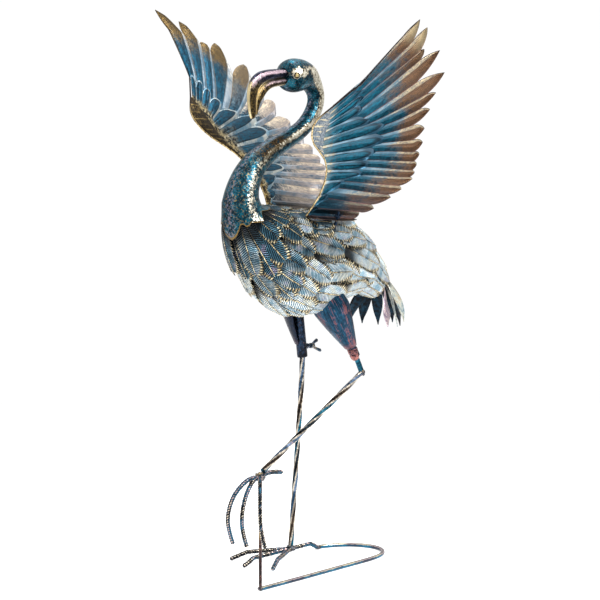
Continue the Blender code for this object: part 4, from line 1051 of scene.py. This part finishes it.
def covert_paint(name, back, panel, rim, near_arm, line):
    """A rounded panel with painted shade near its edge, inside a soft lighter rim that is a painted highlight,
    turning gold towards the arm.
    """
    f, across, tipness, aside, along = wing_finish(name)
    t = tipness / 0.3
    dab, drift = f.cloud(170, 3, 0.62, 0.4), f.cloud(40)
    grain = f.streaks(aside * 30, along * 5)
    middle, reach, end_reach, edge_shade = (0.64, 0.41, 0.47, 0.45) if back else (0.38, 0.36, 0.5, 0.85)
    off = (across - middle).size() / reach
    end = (t - 0.45).most(0) / end_reach
    bulge = off * off * off + end * end * end
    inside = bulge.rise(1.22, 0.98)
    tone = f.blend((dab * 0.4 + grain * 0.6).rise(0.36, 0.66), *panel)
    # Painted shade darkens the panel towards its rounded edge.
    tone = f.blend(bulge.rise(0.3, 0.95) * edge_shade, tone, (6, 24, 36))
    # The lighter rim is a painted highlight; on the underside it is painted darker towards the tip.
    soft = f.blend((dab * 0.3 + drift * 0.7).rise(0.38, 0.62), *rim)
    if not back:
        soft = f.blend(t.rise(0.66, 0.9) * 0.9, soft, (28, 70, 92))
    tone = f.blend(inside, soft, tone)
    root = t + (dab - 0.5) * 0.6 + (drift - 0.5) * 0.5
    root = root.rise(0.36, 0.06) * (1 - inside * 0.2) if back else root.rise(0.3, 0) * (1 - inside * 0.85)
    tone = f.blend(root, tone, f.blend(dab.rise(0.4, 0.58), *near_arm))
    # A dark line just inside the rim towards the tip is painted shade.
    tone = f.blend(inside.near(0.5, 0.4) * t.rise(0.5, 0.9) * (0.2 + dab * 0.4), tone, line)
    return f.done(tone, 0.26 + dab * 0.26, grain + dab * 0.3, 0.0004)


def arm_paint(name, low, high, gold):
    """The smooth arm: dark speckle with gold running out along the feathers."""
    f, across, _, aside, along = wing_finish(name)
    dab, drift = f.cloud(420, 3, 0.65, 0.4), f.cloud(60)
    streak = f.streaks(aside * 16, along * 5)
    worn = streak * 0.25 + drift * 0.45 + dab * 0.4 + (across - 0.5).size().rise(0.36, 0.5) * 0.12
    tone = f.blend(worn.rise(0.58, 0.74), f.blend(dab.rise(0.4, 0.6), low, high), gold)
    return f.done(tone, 0.2 + dab * 0.28, dab + streak, 0.0005)


# The riser, rim and band colours and the pale tip bands are painted highlight, for the light those faces of the
# folds catch; the dark covert lines are painted shade.
BACK_PANEL = ((0, 36, 54), (0, 88, 116))
LIT_BACK_RISER = ((120, 158, 182), (204, 216, 226))
LIT_BACK_RIM = ((120, 164, 188), (220, 224, 218))
BACK_TIP = ((34, 28, 20), (160, 130, 76)), ((176, 182, 190), (232, 228, 216)), 0.6, BROWN_GOLD
UNDER_PANEL = ((4, 54, 72), (10, 110, 136))
LIT_UNDER_BAND = ((66, 112, 134), (124, 160, 180))
UNDER_TIP = ((30, 24, 26), (178, 132, 92)), ((130, 122, 122), (248, 228, 184)), 0.52, (150, 96, 84)
WING_PAINTS = [
    vane_paint("back_flight", True, BACK_PANEL, LIT_BACK_RISER, *BACK_TIP),
    covert_paint("back_covert", True, BACK_PANEL, LIT_BACK_RIM, ((30, 26, 20), (196, 174, 124)), DEEP_TEAL),
    arm_paint("back_arm", (10, 9, 8), (70, 56, 30), (150, 126, 76)),
    vane_paint("under_flight", False, UNDER_PANEL, LIT_UNDER_BAND, *UNDER_TIP),
    covert_paint("under_covert", False, UNDER_PANEL, LIT_UNDER_BAND, ((150, 140, 120), (216, 200, 160)), BLUE_BLACK),
    arm_paint("under_arm", (60, 74, 88), (128, 138, 146), (220, 204, 164)),
    rubbed_steel("wing_rim", (18, 16, 20), (72, 54, 46), 0.56, 0.66, COPPER, 260, 0.0003),
]
UNDER_PAINTS, EDGE_PAINT = 3, 6  # where the underside's paints start in the list, and the cut edge's

# %% [markdown]
# Along the root each sheet is turned outwards into a hem, which the stud comes through, and the
# leading edge is rolled into a thin wire-like rim.

# %% Both wings
WING_HEM = 0.024
WING_HEM_FALL = 0.004
HEM_COLUMNS = 3
RIM_LEAD = mm((283.5, 98.4), (290.5, 94.5))  # the rim's way on to the first feather


def hem_strip(bm, keeps, side):
    """The turned hem along the root edge, as a narrow grid."""
    plan = [(zone, t) for zone, t in ROW_PLAN if zone != "tip"]
    edge = [wing_point(side, *sheet_spot(side, 0, 0.0, *at), press_height(0.0, 0.0, *at, 0.01)) for at in plan]
    last = len(edge) - 1
    fall = Vector((side * WING_HEM, 0, -WING_HEM_FALL))
    crossings, faces = grid(bm, HEM_COLUMNS, last)
    for vert, (column, row) in crossings.items():
        vert.co = edge[row] + fall * (column / HEM_COLUMNS * min(1.0, 0.3 + 0.7 * (last - row) / 5))
    for face in faces:
        face.material_index = EDGE_PAINT
        for loop in face.loops:
            loop[keeps[0]].uv, loop[keeps[1]].uv = (0.7, 0.0), (0.0, 0.0)


def rim_paint():
    """The rim is rubbed gold along the root and black along the leading edge."""
    f = Finish("wing_rim_wire", 0.8, 0.3)
    dab = f.cloud(300, 3, 0.6, 0.4)
    gold = f.blend(dab.rise(0.38, 0.56), (110, 84, 44), (226, 200, 146))
    black = f.blend(dab.rise(0.42, 0.6), (6, 8, 12), (60, 44, 42))
    return f.done(f.blend((f.kept("gone") + dab * 0.1).rise(0.66, 0.76), gold, black))


RIM_PAINT = rim_paint()
for word, side in (("left", 1), ("right", -1)):
    bm = bmesh.new()
    keeps = sheet_keeps(bm, "order")
    for feather in range(FEATHERS):
        press_feather(bm, keeps, side, feather)
    hem_strip(bm, keeps, side)
    bmesh.ops.remove_doubles(bm, verts=bm.verts, dist=0.00004)
    face_towards(bm, wing_point(side, 0.2, 0.0, 0.01) - wing_point(side, 0.2, 0.0))
    nodes = [f"wing_{word}"]
    wing = finish_piece(f"wing_sheet_{word}", bm, WING_PAINTS, nodes, 24, (WING_SHEET, 0), True)
    wing.modifiers["sheet"].material_offset = UNDER_PAINTS
    wing.modifiers["sheet"].material_offset_rim = EDGE_PAINT

for word, side in (("left", 1), ("right", -1)):
    spots = [line_spot(RIM_LINE, i / 4) for i in range(17 * 4 + 1)]
    lead = [RIM_LINE[-1], *RIM_LEAD, slot_spot(side, FEATHERS), tip_spot(side, FEATHERS - 1)]
    spots += [line_spot(lead, i / 6) for i in range(1, 4 * 6 + 1)]
    rings = []
    for i, (point, _, across, over) in enumerate(frames_along([wing_point(side, *spot) for spot in spots])):
        rings.append(ring_round(point, across, over, 8, 0.0014 * min(1.0, 0.35 + (len(spots) - 1 - i) / 18)))
    keep = {"gone": lambda ring, i: ring / len(spots)}
    tube(f"wing_rim_{word}", rings, [RIM_PAINT], "teal_steel", crease=35, keep=keep)

# %% [markdown]
# ## Tail
# Eight pointed blades hang round the rump like the petals of a closed flower. Each is a narrow grid
# folded a little along its middle and bent along a curve from the rump to its tip.

# %% Tail blades
TAIL_COUNT = 8
TAIL_SPREAD = math.radians(100)
TAIL_TIP_UP = 0.404
TAIL_TIP_CENTRE = -0.168
TAIL_REACH_BACK = 0.087
TAIL_REACH_SIDE = 0.047
TAIL_HALF_WIDTHS = mm((3.6,), (5,), (8.6,), (11.2,), (8.6,), (0.8,))
TAIL_LAP = 0.0036
TAIL_FOLD = 0.0016
TAIL_COLUMNS, TAIL_ROWS = 6, 30
# The split is painted light and shade: the five far blades are painted near black for the shade they hang in,
# the three near ones pale as lit.
SHADED_TAIL = rubbed_steel("shaded_tail_paint", (5, 8, 12), (14, 44, 60), 0.68, 0.78, (40, 44, 60), 160, 0.0004)
PINK_TAIL = rubbed_steel("pink_tail_paint", (170, 154, 172), (244, 220, 218), 0.62, 0.72, COPPER, 120, 0.0004)
CREAM_TAIL = rubbed_steel("cream_tail_paint", (120, 144, 152), (224, 222, 204), 0.54, 0.64, LILAC, 120, 0.0004)
TAIL_PAINTS = (*[SHADED_TAIL] * 5, CREAM_TAIL, CREAM_TAIL, PINK_TAIL)


def bezier(points, t):
    while len(points) > 1:
        points = [near.lerp(far, t) for near, far in zip(points, points[1:])]
    return points[0]


for index in range(TAIL_COUNT):
    angle = TAIL_SPREAD * (2 * index / (TAIL_COUNT - 1) - 1)
    odd, pale = index % 2, index > 4
    hub = place(TAIL_TIP_CENTRE, 0.0, TAIL_TIP_UP)
    back, side = TAIL_REACH_BACK * math.cos(angle * 0.9), TAIL_REACH_SIDE * math.sin(angle * 0.9)
    tip = place(TAIL_TIP_CENTRE - back, side, TAIL_TIP_UP + 0.004 * odd + 0.007 * pale)
    above = (tip - hub).normalized() * (TAIL_LAP * odd)
    tip += above
    shoulder = Vector((hub.x + (tip.x - SHIFT.x) * 0.95, SHIFT.y + (tip.y - SHIFT.y) * 0.985, 0.455)) + above
    curve = (body_point(11.75, angle, 0.0020), body_point(12.4, angle, 0.0035), shoulder, tip)
    middle = frames_along([bezier(curve, i / TAIL_ROWS) for i in range(TAIL_ROWS + 1)])
    bm = bmesh.new()
    for vert, (column, row) in grid(bm, TAIL_COLUMNS, TAIL_ROWS)[0].items():
        across = 2 * column / TAIL_COLUMNS - 1
        point, tangent, _, _ = middle[row]
        outwards = point - hub
        outwards.z = 0.0
        outwards = (outwards - tangent * outwards.dot(tangent)).normalized()
        half = max(0.0006, smooth_row(TAIL_HALF_WIDTHS, row / TAIL_ROWS * 5)[0] * (1.25 if pale else 1.0))
        fold = TAIL_FOLD * min(1.0, half / 0.006) * abs(across) ** 1.4
        vert.co = point + tangent.cross(outwards).normalized() * (half * across) - outwards * fold
    nodes = [f"tail_feather_{index + 1}"]
    finish_piece(f"tail_blade_{index + 1}", bm, [TAIL_PAINTS[index]], nodes, 40, (0.001, 0))

# %% [markdown]
# ## Thighs and sockets
# Each thigh is a sheet rolled into part of a cone round a tube, open at the back. A slanting line spun
# part of a turn round the tube's axis makes it. The tube below takes the leg bar.

# %% Thighs
RIGHT_SOCKET = [place(*end) for end in ((-0.012, -0.038, 0.500), (-0.0305, -0.038, 0.368))]
LEFT_SOCKET = [place(*end) for end in ((-0.010, 0.032, 0.500), (-0.0765, 0.050, 0.373))]
THIGH_HALF_ARC = math.radians(72)
THIGH_ROWS = 20


def thigh_paint(name, low, high, streak_colour, streak_from):
    """Blue steel with fine streaks drawn down the cone, which keeps its own height and turn."""
    f = Finish(name, 0.8)
    turn, height = f.kept("turn"), f.kept("height")
    dab = f.cloud(170, 3, 0.6, 0.5)
    fine = f.streaks(turn * 60, height * 5, 4, 0.65, 0.4)
    broad = f.streaks(turn * 9, height * 2.5, 2, 0.5, 0.3)
    tone = f.blend((fine * 0.7 + dab * 0.3).rise(0.38, 0.62), low, high)
    streak = (fine * 0.5 + broad * 0.4 + dab * 0.25).rise(streak_from, streak_from + 0.07)
    tone = f.blend(streak * 0.85, tone, streak_colour)
    tone = f.blend(height.rise(0.12, 0.02) * 0.5, tone, streak_colour)
    return f.done(tone, 0.2 + dab * 0.3, fine + dab * 0.3, 0.0005)


# One paint for both thighs; the far one is a near-black copy, painted shade.
NEAR_THIGH = thigh_paint("near_thigh_paint", (6, 26, 44), (22, 78, 106), (136, 80, 80), 0.6)
SHADED_FAR_THIGH = thigh_paint("far_thigh_shaded_paint", BLUE_BLACK, (26, 40, 60), (70, 56, 70), 0.62)


def thigh_shell(word, socket, radii, faces, side, ends_above, finish):
    """A part cone round a socket, from a little above the tube's end up into the body."""
    top, bottom = socket
    down = (bottom - top).normalized()
    low = bottom - down * ends_above
    facing = place(math.cos(faces), side * math.sin(faces), 0.0) - SHIFT
    facing = (facing - down * facing.dot(down)).normalized()
    across = down.cross(facing).normalized()
    start = facing * math.cos(THIGH_HALF_ARC) - across * math.sin(THIGH_HALF_ARC)
    line = []
    for row in range(THIGH_ROWS + 1):
        share = row / THIGH_ROWS
        tucked = min(share, 0.72) - max(0.0, share - 0.72) * 0.5
        radius = radii[0] + (radii[1] - radii[0]) * tucked + 0.0022 * math.sin(math.pi * share)
        line.append(low.lerp(top, share) + start * radius)
    bm = bmesh.new()
    turn_kept, height_kept = bm.verts.layers.float.new("turn"), bm.verts.layers.float.new("height")
    spun(bm, line, low, down, 2 * THIGH_HALF_ARC, 28)
    face_towards(bm, facing)
    for vert in bm.verts:
        out = vert.co - low
        vert[height_kept] = -out.dot(down) / (top - low).length
        vert[turn_kept] = math.atan2(out.dot(across), out.dot(facing)) / math.pi
    finish_piece(f"thigh_shell_{word}", bm, [finish], [f"thigh_{word}"], 40, (0.001, 1), True)


thigh_shell("right", RIGHT_SOCKET, (0.0110, 0.038), math.radians(52), -1, 0.026, SHADED_FAR_THIGH)
thigh_shell("left", LEFT_SOCKET, (0.0112, 0.042), math.radians(32), 1, 0.022, NEAR_THIGH)

# %% Socket tubes and the copper crimp
CRIMP_COLOURS = (48, 34, 46), (164, 106, 98), 0.6, 0.7, (178, 150, 172)
CRIMP_PAINT = rubbed_steel("copper_crimp_paint", *CRIMP_COLOURS, 240, 0.0008)
# Distance from its start, and radius, of the short sleeve squeezed on where the thin upper leg comes out.
CRIMP = mm(
    (0, 8.8), (1, 9.6), (6, 9.6), (10, 9), (11.5, 8), (13, 8.8), (18, 8), (21, 6.8), (23, 5.4),
)


def drum(start, end, profile, sides):
    """Rings of a round piece on a line, from (metres from the start, radius)."""
    _, way, across, over = frames_along([start, end])[0]
    return [ring_round(start + way * far, across, over, sides, radius) for far, radius in profile]


for word, (top, bottom), radius in (("right", RIGHT_SOCKET, 0.0096), ("left", LEFT_SOCKET, 0.0086)):
    far = (bottom - top).length
    inner = radius - 0.0018
    profile = ((0.0, radius), (far * 0.965, radius), (far, radius - 0.0002), (far, inner), (far * 0.6, inner))
    rings = drum(top, bottom, profile, 28)
    tube(f"socket_tube_{word}", rings, [DARK_PAINT], "dark_steel", [f"socket_{word}"], 40)

left_top, left_bottom = LEFT_SOCKET
crimp_start = left_bottom - (left_bottom - left_top).normalized() * 0.017
crimp_rings = drum(crimp_start, place(-0.084, 0.0555, 0.342), CRIMP, 28)
tube("crimp_sleeve", crimp_rings, [CRIMP_PAINT], "dark_steel", (), 40)

# %% [markdown]
# ## Legs
# The legs are square bar twisted cold: the ring is a square with its corners just broken, and it
# turns a little with each step along the path. The gold rub sits on the four edges, so the narrow
# faces at the corners get a paint of their own. The four flats get lighter and darker tones of one
# paint, painted light and shade for how each flat would catch the light.

# %% Twisted bars
BAR_SIDE = 0.0088
BAR_QUARTER_TURN = 0.055
CUT = 0.56  # where a flat ends, as a share of half the side
BAR_RING = (
    (1, -CUT), (1, 0), (1, CUT), (CUT, 1), (0, 1), (-CUT, 1),
    (-1, CUT), (-1, 0), (-1, -CUT), (-CUT, -1), (0, -1), (CUT, -1),
)
# The flat that each face of the ring belongs to; the four narrow corner faces get the last paint.
RING_FLATS = (0, 0, 4, 1, 1, 4, 2, 2, 4, 3, 3, 4)


def flat_paint(name, low, high, worn_colour, worn_from):
    """One flat of the bar, streaked along its length."""
    f = Finish(name, 0.84)
    dab, drift = f.cloud(190, 3, 0.6, 0.5), f.cloud(46)
    both = dab * 0.5 + drift * 0.5
    tone = f.blend(both.rise(0.4, 0.6), low, high)
    tone = f.blend(both.rise(worn_from, worn_from + 0.08) * 0.8, tone, worn_colour)
    return f.done(tone, 0.16 + dab * 0.3, dab, 0.0003)


# Four tones of one paint, one to each flat, lighter and darker for how a flat catches the light: painted light
# and shade. The corner paint is the gold rub.
BAR_PAINTS = [
    flat_paint("bar_flat_teal", (10, 48, 66), (34, 108, 132), (150, 150, 140), 0.6),
    flat_paint("bar_flat_umber", (22, 18, 20), (84, 68, 54), (140, 104, 90), 0.58),
    flat_paint("bar_flat_blue", (30, 60, 86), (104, 128, 156), (190, 160, 166), 0.58),
    flat_paint("bar_flat_shade", (8, 12, 18), (34, 50, 62), (110, 90, 84), 0.6),
    flat_paint("bar_corner", (140, 130, 118), (246, 234, 214), (40, 46, 56), 0.56),
]


def twisted_bar(name, points, node):
    rings = []
    travelled = 0.0
    previous = points[0]
    for point, _, across, over in frames_along(points):
        travelled += (point - previous).length
        previous = point
        turn = travelled / BAR_QUARTER_TURN * math.pi / 2
        first = (across * math.cos(turn) + over * math.sin(turn)) * (BAR_SIDE / 2)
        second = (over * math.cos(turn) - across * math.sin(turn)) * (BAR_SIDE / 2)
        rings.append([point + first * x + second * y for x, y in BAR_RING])
    bm = bmesh.new()
    grow(bm, rings, keep={"ring_place": lambda ring, i: float(i)})
    places = bm.verts.layers.float["ring_place"]
    for face in bm.faces:
        found = sorted({round(vert[places]) for vert in face.verts})
        if len(found) == 2:
            face.material_index = RING_FLATS[found[1] if found == [0, 11] else found[0]]
    finish_piece(name, bm, BAR_PAINTS, [node], 28)


STANDING_LEG = mm(
    (-29.8, -38, 356), (-29.2, -38, 335), (-24.5, -38, 285), (-14.5, -38, 180), (-4.5, -38, 85),
    (2, -38, 15.5),
)
knee = place(-0.086, 0.057, 0.342)
ankle = place(0.217, 0.083, 0.200)
leg_top, leg_bottom = RIGHT_SOCKET
leg_down = (leg_bottom - leg_top).normalized()
standing = [leg_bottom - leg_down * 0.050, leg_bottom - leg_down * 0.004]
standing += [place(*spot) for spot in STANDING_LEG]
twisted_bar("standing_leg_bar", spaced(standing, 0.004), "standing_leg")
shin_end = ankle + Vector((0, 0, 0.0068)) - (ankle - knee).normalized() * 0.0090
twisted_bar("raised_shin_bar", spaced([knee, knee.lerp(shin_end, 0.5), shin_end], 0.004), "raised_leg_shin")

# %% [markdown]
# ## Feet and base
# The toes are ribbed rod, as used in concrete: round bar with slanting ribs every few millimetres.
# The ring swells at each rib and is tipped a little, which slants the ribs. The base is plain wire rod.

# %% Ribbed rods
TOE_RADIUS = 0.0035
TOE_FULL = 0.0038
RIB_PITCH = 0.0044
TOE_STEP = 0.0013
TOE_SIDES = 14


def upper_side(sides):
    """A number to keep: 1 on top of a level rod, -1 beneath it."""
    return lambda ring, i: -math.sin(math.tau * i / sides)


def toe_paint():
    """Dark steel worn pale and copper on the ribs, with a painted highlight all along the upper side and
    painted shade beneath.
    """
    f = Finish("ribbed_toe_paint", 0.82)
    upper = f.kept("upper")
    dab, drift = f.cloud(200, 3, 0.6, 0.5), f.cloud(50)
    base = f.blend(drift.rise(0.42, 0.58), (10, 14, 22), (30, 80, 104))
    worn = f.blend(drift.rise(0.38, 0.6), (240, 228, 206), (206, 168, 160))
    # The pale along the upper side is a painted highlight, and beneath it is held back as painted shade; on the
    # ribs it is wear.
    rubbed = f.kept("rib") * 0.9 + upper.near(0.62, 0.34) * 0.6 + (dab - 0.5) * 1.4
    rubbed = rubbed - upper.rise(-0.2, -0.8) * 0.5
    return f.done(f.blend(rubbed.rise(0.6, 1.05), base, worn), 0.18 + dab * 0.3, dab, 0.0003)


TOE_PAINT = toe_paint()


def ribbed_rod(word, points):
    """A toe, named by its foot and its place."""
    path = spaced(points, TOE_STEP)
    rings = []
    swell = []
    for i, (point, tangent, across, over) in enumerate(frames_along(path)):
        rib = math.exp(-(((i * TOE_STEP / RIB_PITCH % 1.0 - 0.5) / 0.17) ** 2))
        end = min(i, len(path) - 1 - i) * TOE_STEP
        dome = math.sqrt(max(0.06, 1.0 - max(0.0, 1.0 - end / TOE_FULL) ** 2))
        ring = ring_round(point, across, over, TOE_SIDES, (TOE_FULL - 0.0003 + 0.0008 * rib) * dome)
        slant = 0.95 * min(1.0, max(0.0, end - 0.003) / 0.008)
        ring = [spot + tangent * ((spot - point).dot(across) * slant) for spot in ring]
        rings.append([Vector((*spot.xy, max(spot.z, 0.0))) for spot in ring])
        swell.append(rib)
    keep = {"rib": lambda ring, i: swell[ring], "upper": upper_side(TOE_SIDES)}
    foot_name, toe_name = word.split("_")
    tube(f"{word}_toe_rod", rings, [TOE_PAINT], "rod_steel", [f"{foot_name}_toe_{toe_name}"], 60, keep=keep)


def level_way(degrees):
    return Vector((math.sin(math.radians(degrees)), -math.cos(math.radians(degrees)), 0.0))


# %% Standing foot
TOE_LEVEL = 0.0145
TOE_SPREAD = 28
STANDING_REACH = 0.094
STANDING_HOOK = 0.025
STANDING_TURN = -2.5
HEEL_REACH = 0.052
HEEL_HOOK = 0.020
foot = place(0.002, -0.038, TOE_LEVEL)
fall = Vector((0, 0, TOE_RADIUS - TOE_LEVEL))
ahead = level_way(STANDING_TURN)
heel_end = foot - ahead * (HEEL_REACH + HEEL_HOOK) + fall
reach = STANDING_REACH + 0.004
# Each spot of a toe: how far out along it, and what share of the way down to the ground.
middle_toe = (
    (reach + STANDING_HOOK, 1), (reach + STANDING_HOOK * 0.5, 0.62), (reach, 0.1), (reach - 0.012, 0), (0, 0),
    (0.006 - HEEL_REACH, 0), (-0.002 - HEEL_REACH, 0.1), (0.004 - HEEL_REACH - HEEL_HOOK, 0.78),
    (-HEEL_REACH - HEEL_HOOK, 1),
)
side_toe = (
    (0.006, 0), (STANDING_REACH - 0.018, 0), (STANDING_REACH - 0.008, 0.1),
    (STANDING_REACH + STANDING_HOOK * 0.45, 0.66), (STANDING_REACH + STANDING_HOOK * 0.9, 1),
)
standing_toes = ("middle", 0, middle_toe), ("right", -TOE_SPREAD, side_toe), ("left", TOE_SPREAD, side_toe)
for word, turn, spots in standing_toes:
    way = level_way(STANDING_TURN + turn)
    ribbed_rod(f"standing_{word}", [foot + way * out + fall * down for out, down in spots])

# %% Raised foot
RAISED_TURN = 14
RAISED_SPREAD = 28.5
RAISED_HEEL_TURN = 8
# Each spot from the ankle: out along the toe, back towards the heel, up.
HANGING_TOE = mm(
    (5, 0, 0), (18, 0, 1), (35, 0, -7), (53, 0, -25), (63.5, 0, -48), (67, 2, -70), (67, 9, -92),
    (66, 18, -112),
)
RAISED_HEEL = mm((68, 0, -2), (40, 0, 3), (18, 0, 4), (0, 0, 0))


def hanging(way, spots):
    return [ankle + way * out - level_way(RAISED_TURN) * back + Vector((0, 0, up)) for out, back, up in spots]


heel_part = hanging(-level_way(RAISED_HEEL_TURN), RAISED_HEEL)
ribbed_rod("raised_middle", heel_part + hanging(level_way(RAISED_TURN), HANGING_TOE[1:]))
for word, turn in (("right", -RAISED_SPREAD), ("left", RAISED_SPREAD)):
    spots = [(0.006, 0.0, 0.001), *HANGING_TOE[1:]]
    ribbed_rod(f"raised_{word}", hanging(level_way(RAISED_TURN + turn), spots))


# %% Plain rods: upper leg, base runner and post
def plain_rod(name, points, radius, step, finish, nodes):
    path = frames_along(spaced(points, step))
    rings = [ring_round(point, across, over, 16, radius) for point, _, across, over in path]
    tube(name, rings, [finish], "rod_steel", nodes, keep={"upper": upper_side(16)})


def runner_paint():
    """A blue rod with a painted highlight of cream and copper along its top and painted dark outlines along its
    top and bottom.
    """
    f = Finish("runner_paint", 0.84)
    upper = f.kept("upper")
    dab, drift = f.cloud(150, 3, 0.6, 0.5), f.cloud(22)
    low = f.blend(drift.rise(0.44, 0.58), (34, 104, 134), (50, 60, 78))
    high = f.blend(drift.rise(0.4, 0.6), (244, 230, 196), (196, 178, 180))
    # Pale along the top is a painted highlight, and the dark lines at the top and bottom edges are painted
    # shade.
    tone = f.blend((upper + (dab - 0.5) * 0.9).rise(0.3, 0.62), low, high)
    edges = (upper + (dab - 0.5) * 0.4).size().rise(0.72, 0.94) * 0.75
    return f.done(f.blend(edges, tone, (24, 28, 36)), 0.16 + dab * 0.3)


POST_PAINT = rubbed_steel("post_paint", (28, 24, 28), (92, 74, 72), 0.54, 0.62, COPPER, 200, 0.0003)
left_down = (left_bottom - left_top).normalized()
upper_leg = [left_bottom - left_down * 0.050, left_bottom, knee - (knee - left_bottom).normalized() * 0.0030]
plain_rod("upper_leg_rod", upper_leg, 0.0050, 0.006, BAR_PAINTS[0], ["raised_leg_upper"])

RUNNER_RADIUS = 0.0037
# Where the runner lies on the ground, from the post to the heel: forward, left.
RUNNER = mm(
    (219, 85), (117, 89), (11, 91.5), (-72, 93), (-112, 85), (-136, 64), (-142, 36), (-131, 4), (-108, -20),
    (-82, -34),
)
runner = [place(*spot, RUNNER_RADIUS) for spot in RUNNER]
runner_end = Vector((*heel_end.xy, RUNNER_RADIUS))
runner.append(runner_end + (runner[-1] - runner_end).normalized() * 0.0045)
plain_rod("base_runner_rod", runner, RUNNER_RADIUS, 0.006, runner_paint(), ["base_runner"])
post_foot = place(0.219, 0.085, RUNNER_RADIUS)
post_top = ankle - Vector((0, 0, TOE_RADIUS))
post = [post_foot, post_foot.lerp(post_top, 0.5), post_top]
plain_rod("base_post_rod", post, 0.0029, 0.01, POST_PAINT, ["base_post"])

# %% [markdown]
# ## Welds
# Rods are joined by welds, and a weld is never a clean ball. A small sphere squashed to size and
# roughened by noise gives the lumpy bead that one sees at the ankle and under the foot.

# %% Weld beads
WELD_PAINT = rubbed_steel("weld_paint", (30, 34, 44), (96, 108, 120), 0.52, 0.6, COPPER, 300, 0.0006)
# Each bead: name, middle, how far above it, half width, half height, in millimetres.
WELDS = (
    ("ankle", ankle, 1.5, 9.2, 8), ("standing_foot", foot, 1, 8.6, 6.2), ("heel", heel_end, 0.4, 5.4, 3.6),
    ("post", post_foot, 0.6, 4.8, 3.4), ("knee", knee, 0, 6.2, 6.2),
)
for word, spot, up, wide, tall in WELDS:
    spot = spot + Vector((0, 0, up / 1000))
    bm = bmesh.new()
    bmesh.ops.create_icosphere(bm, subdivisions=4, radius=1.0)
    for vert in bm.verts:
        lump = 1.0 + 0.30 * noise.noise(vert.co * 2.6 + spot * 50)
        vert.co = spot + vert.co * Vector((wide, wide, tall)) * (lump / 1000)
        vert.co.z = max(vert.co.z, 0.0)
    finish_piece(f"weld_{word}", bm, [WELD_PAINT], (), 60)

# %% [markdown]
# ## Clamp screw
# The tube on the standing leg is pinched by a cast thumb screw. Its two ears are stubby bars, thicker
# towards their ends, so each is a short tube grown from the hub outwards, and the hub is a lathed drum.

# %% Clamp screw
CLAMP_UP = 0.0195
CLAMP_END = 0.031
# The drum: distance from the tube's axis, and radius. Each ear: aside, out, half width, half thickness.
CLAMP_DRUM = mm((6.6, 2.6), (23, 2.6), (24, 4.8), (30, 5.2), (33.5, 4.2), (34.5, 2.2))
CLAMP_EAR = mm((1, -1, 3, 2.4), (5, 5, 2.6, 1.8), (7.8, 11, 3, 1.9), (9.8, 16.5, 3.4, 2), (10.6, 18.6, 1.8, 1))
clamp_centre = leg_bottom - leg_down * CLAMP_UP
clamp_out = (place(-1.0, 0.0, -0.08) - SHIFT).normalized()
ear_lean = (leg_down * -0.95 + clamp_out.cross(leg_down) * 0.3).normalized()
CLAMP_PAINT = rubbed_steel("clamp_screw_paint", BLUE_BLACK, (60, 84, 104), 0.58, 0.66, COPPER, 260, 0.0005)
clamp_end = clamp_centre + clamp_out * CLAMP_END
bm = bmesh.new()
grow(bm, drum(clamp_centre, clamp_end, CLAMP_DRUM, 20))
for way in (1, -1):
    path = [clamp_end + ear_lean * (way * aside) + clamp_out * far for aside, far, _, _ in CLAMP_EAR]
    frames = frames_along(path, clamp_out)
    grow(bm, [ring_round(p, a, o, 14, w, h) for (p, _, a, o), (_, _, w, h) in zip(frames, CLAMP_EAR)])
finish_piece("clamp_thumb_screw", bm, [CLAMP_PAINT], ["clamp_screw"], 40)

# %% [markdown]
# ## Solids that stay
# The body's core, the studs, wing nuts and clamp nut are right as they are: they only get paint.

# %% Paint on the kept solids
for node in ("body_shell", "wing_stud_left", "wing_stud_right", "wing_nut_left", "wing_nut_right", "clamp_nut"):
    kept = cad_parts[node]
    kept.data.materials.clear()
    kept.data.materials.append(DARK_PAINT)

# %% [markdown]
# ## Floor and light
# Metal shows what surrounds it, so an all-white room would make it look like chalk. The sky is white
# behind the bird and greyer to both sides, and three soft lights draw the highlights.

# %% Floor
floor_mesh = bmesh.new()
bmesh.ops.create_circle(floor_mesh, cap_ends=True, segments=96, radius=1.7)
floor_data = bpy.data.meshes.new("floor")
floor_mesh.to_mesh(floor_data)
floor_mesh.free()
floor = add_object("floor", floor_data)
pale_floor = Finish("pale_floor", 0.0, 0.9)
pale_floor.feed(pale_floor.shader, {"Emission Color": (255, 255, 255), "Emission Strength": 0.55})
pale_floor.shader.inputs["Base Color"].default_value = (0.9, 0.9, 0.9, 1.0)
floor_data.materials.append(pale_floor.material)


# %% Lights
def soft_light(name, right, near, up, size, power):
    """A square light placed as seen by the camera: to its right, towards it and up, aimed at the bird."""
    data = bpy.data.lights.new(name, "AREA")
    data.shape, data.size, data.energy = "SQUARE", size, power
    lamp = add_object(name, data)
    aim = screen_right * right - level_sight * near + Vector((0, 0, up))
    lamp.location = Vector((0.0, 0.0, 0.55)) + aim
    lamp.rotation_euler = (-aim).to_track_quat("-Z", "Y").to_euler()


soft_light("key_light", 1.8, 1.5, 1.8, 1.0, 76.0)
soft_light("fill_light", -2.6, 1.4, 0.6, 1.6, 9.0)
soft_light("top_light", 0.2, -0.8, 2.8, 1.6, 36.0)

# %% Sky
sky = Finish("studio", sky=True)
heading = sky.node("ShaderNodeTexCoord", {}, {}, "Generated")
behind = sky.node("ShaderNodeVectorMath", {"operation": "DOT_PRODUCT"}, {0: heading, 1: level_sight}, "Value")
grey = 0.15 + sky.parts(heading)[2].rise(-0.7, 0.7) * 0.66
sky.feed(sky.shader, {"Strength": grey + behind.rise(0.9, 0.955) * (1.02 - grey), "Color": (255, 255, 255)})
bpy.context.scene.world = sky.material
bpy.context.scene.view_settings.view_transform = "Standard"
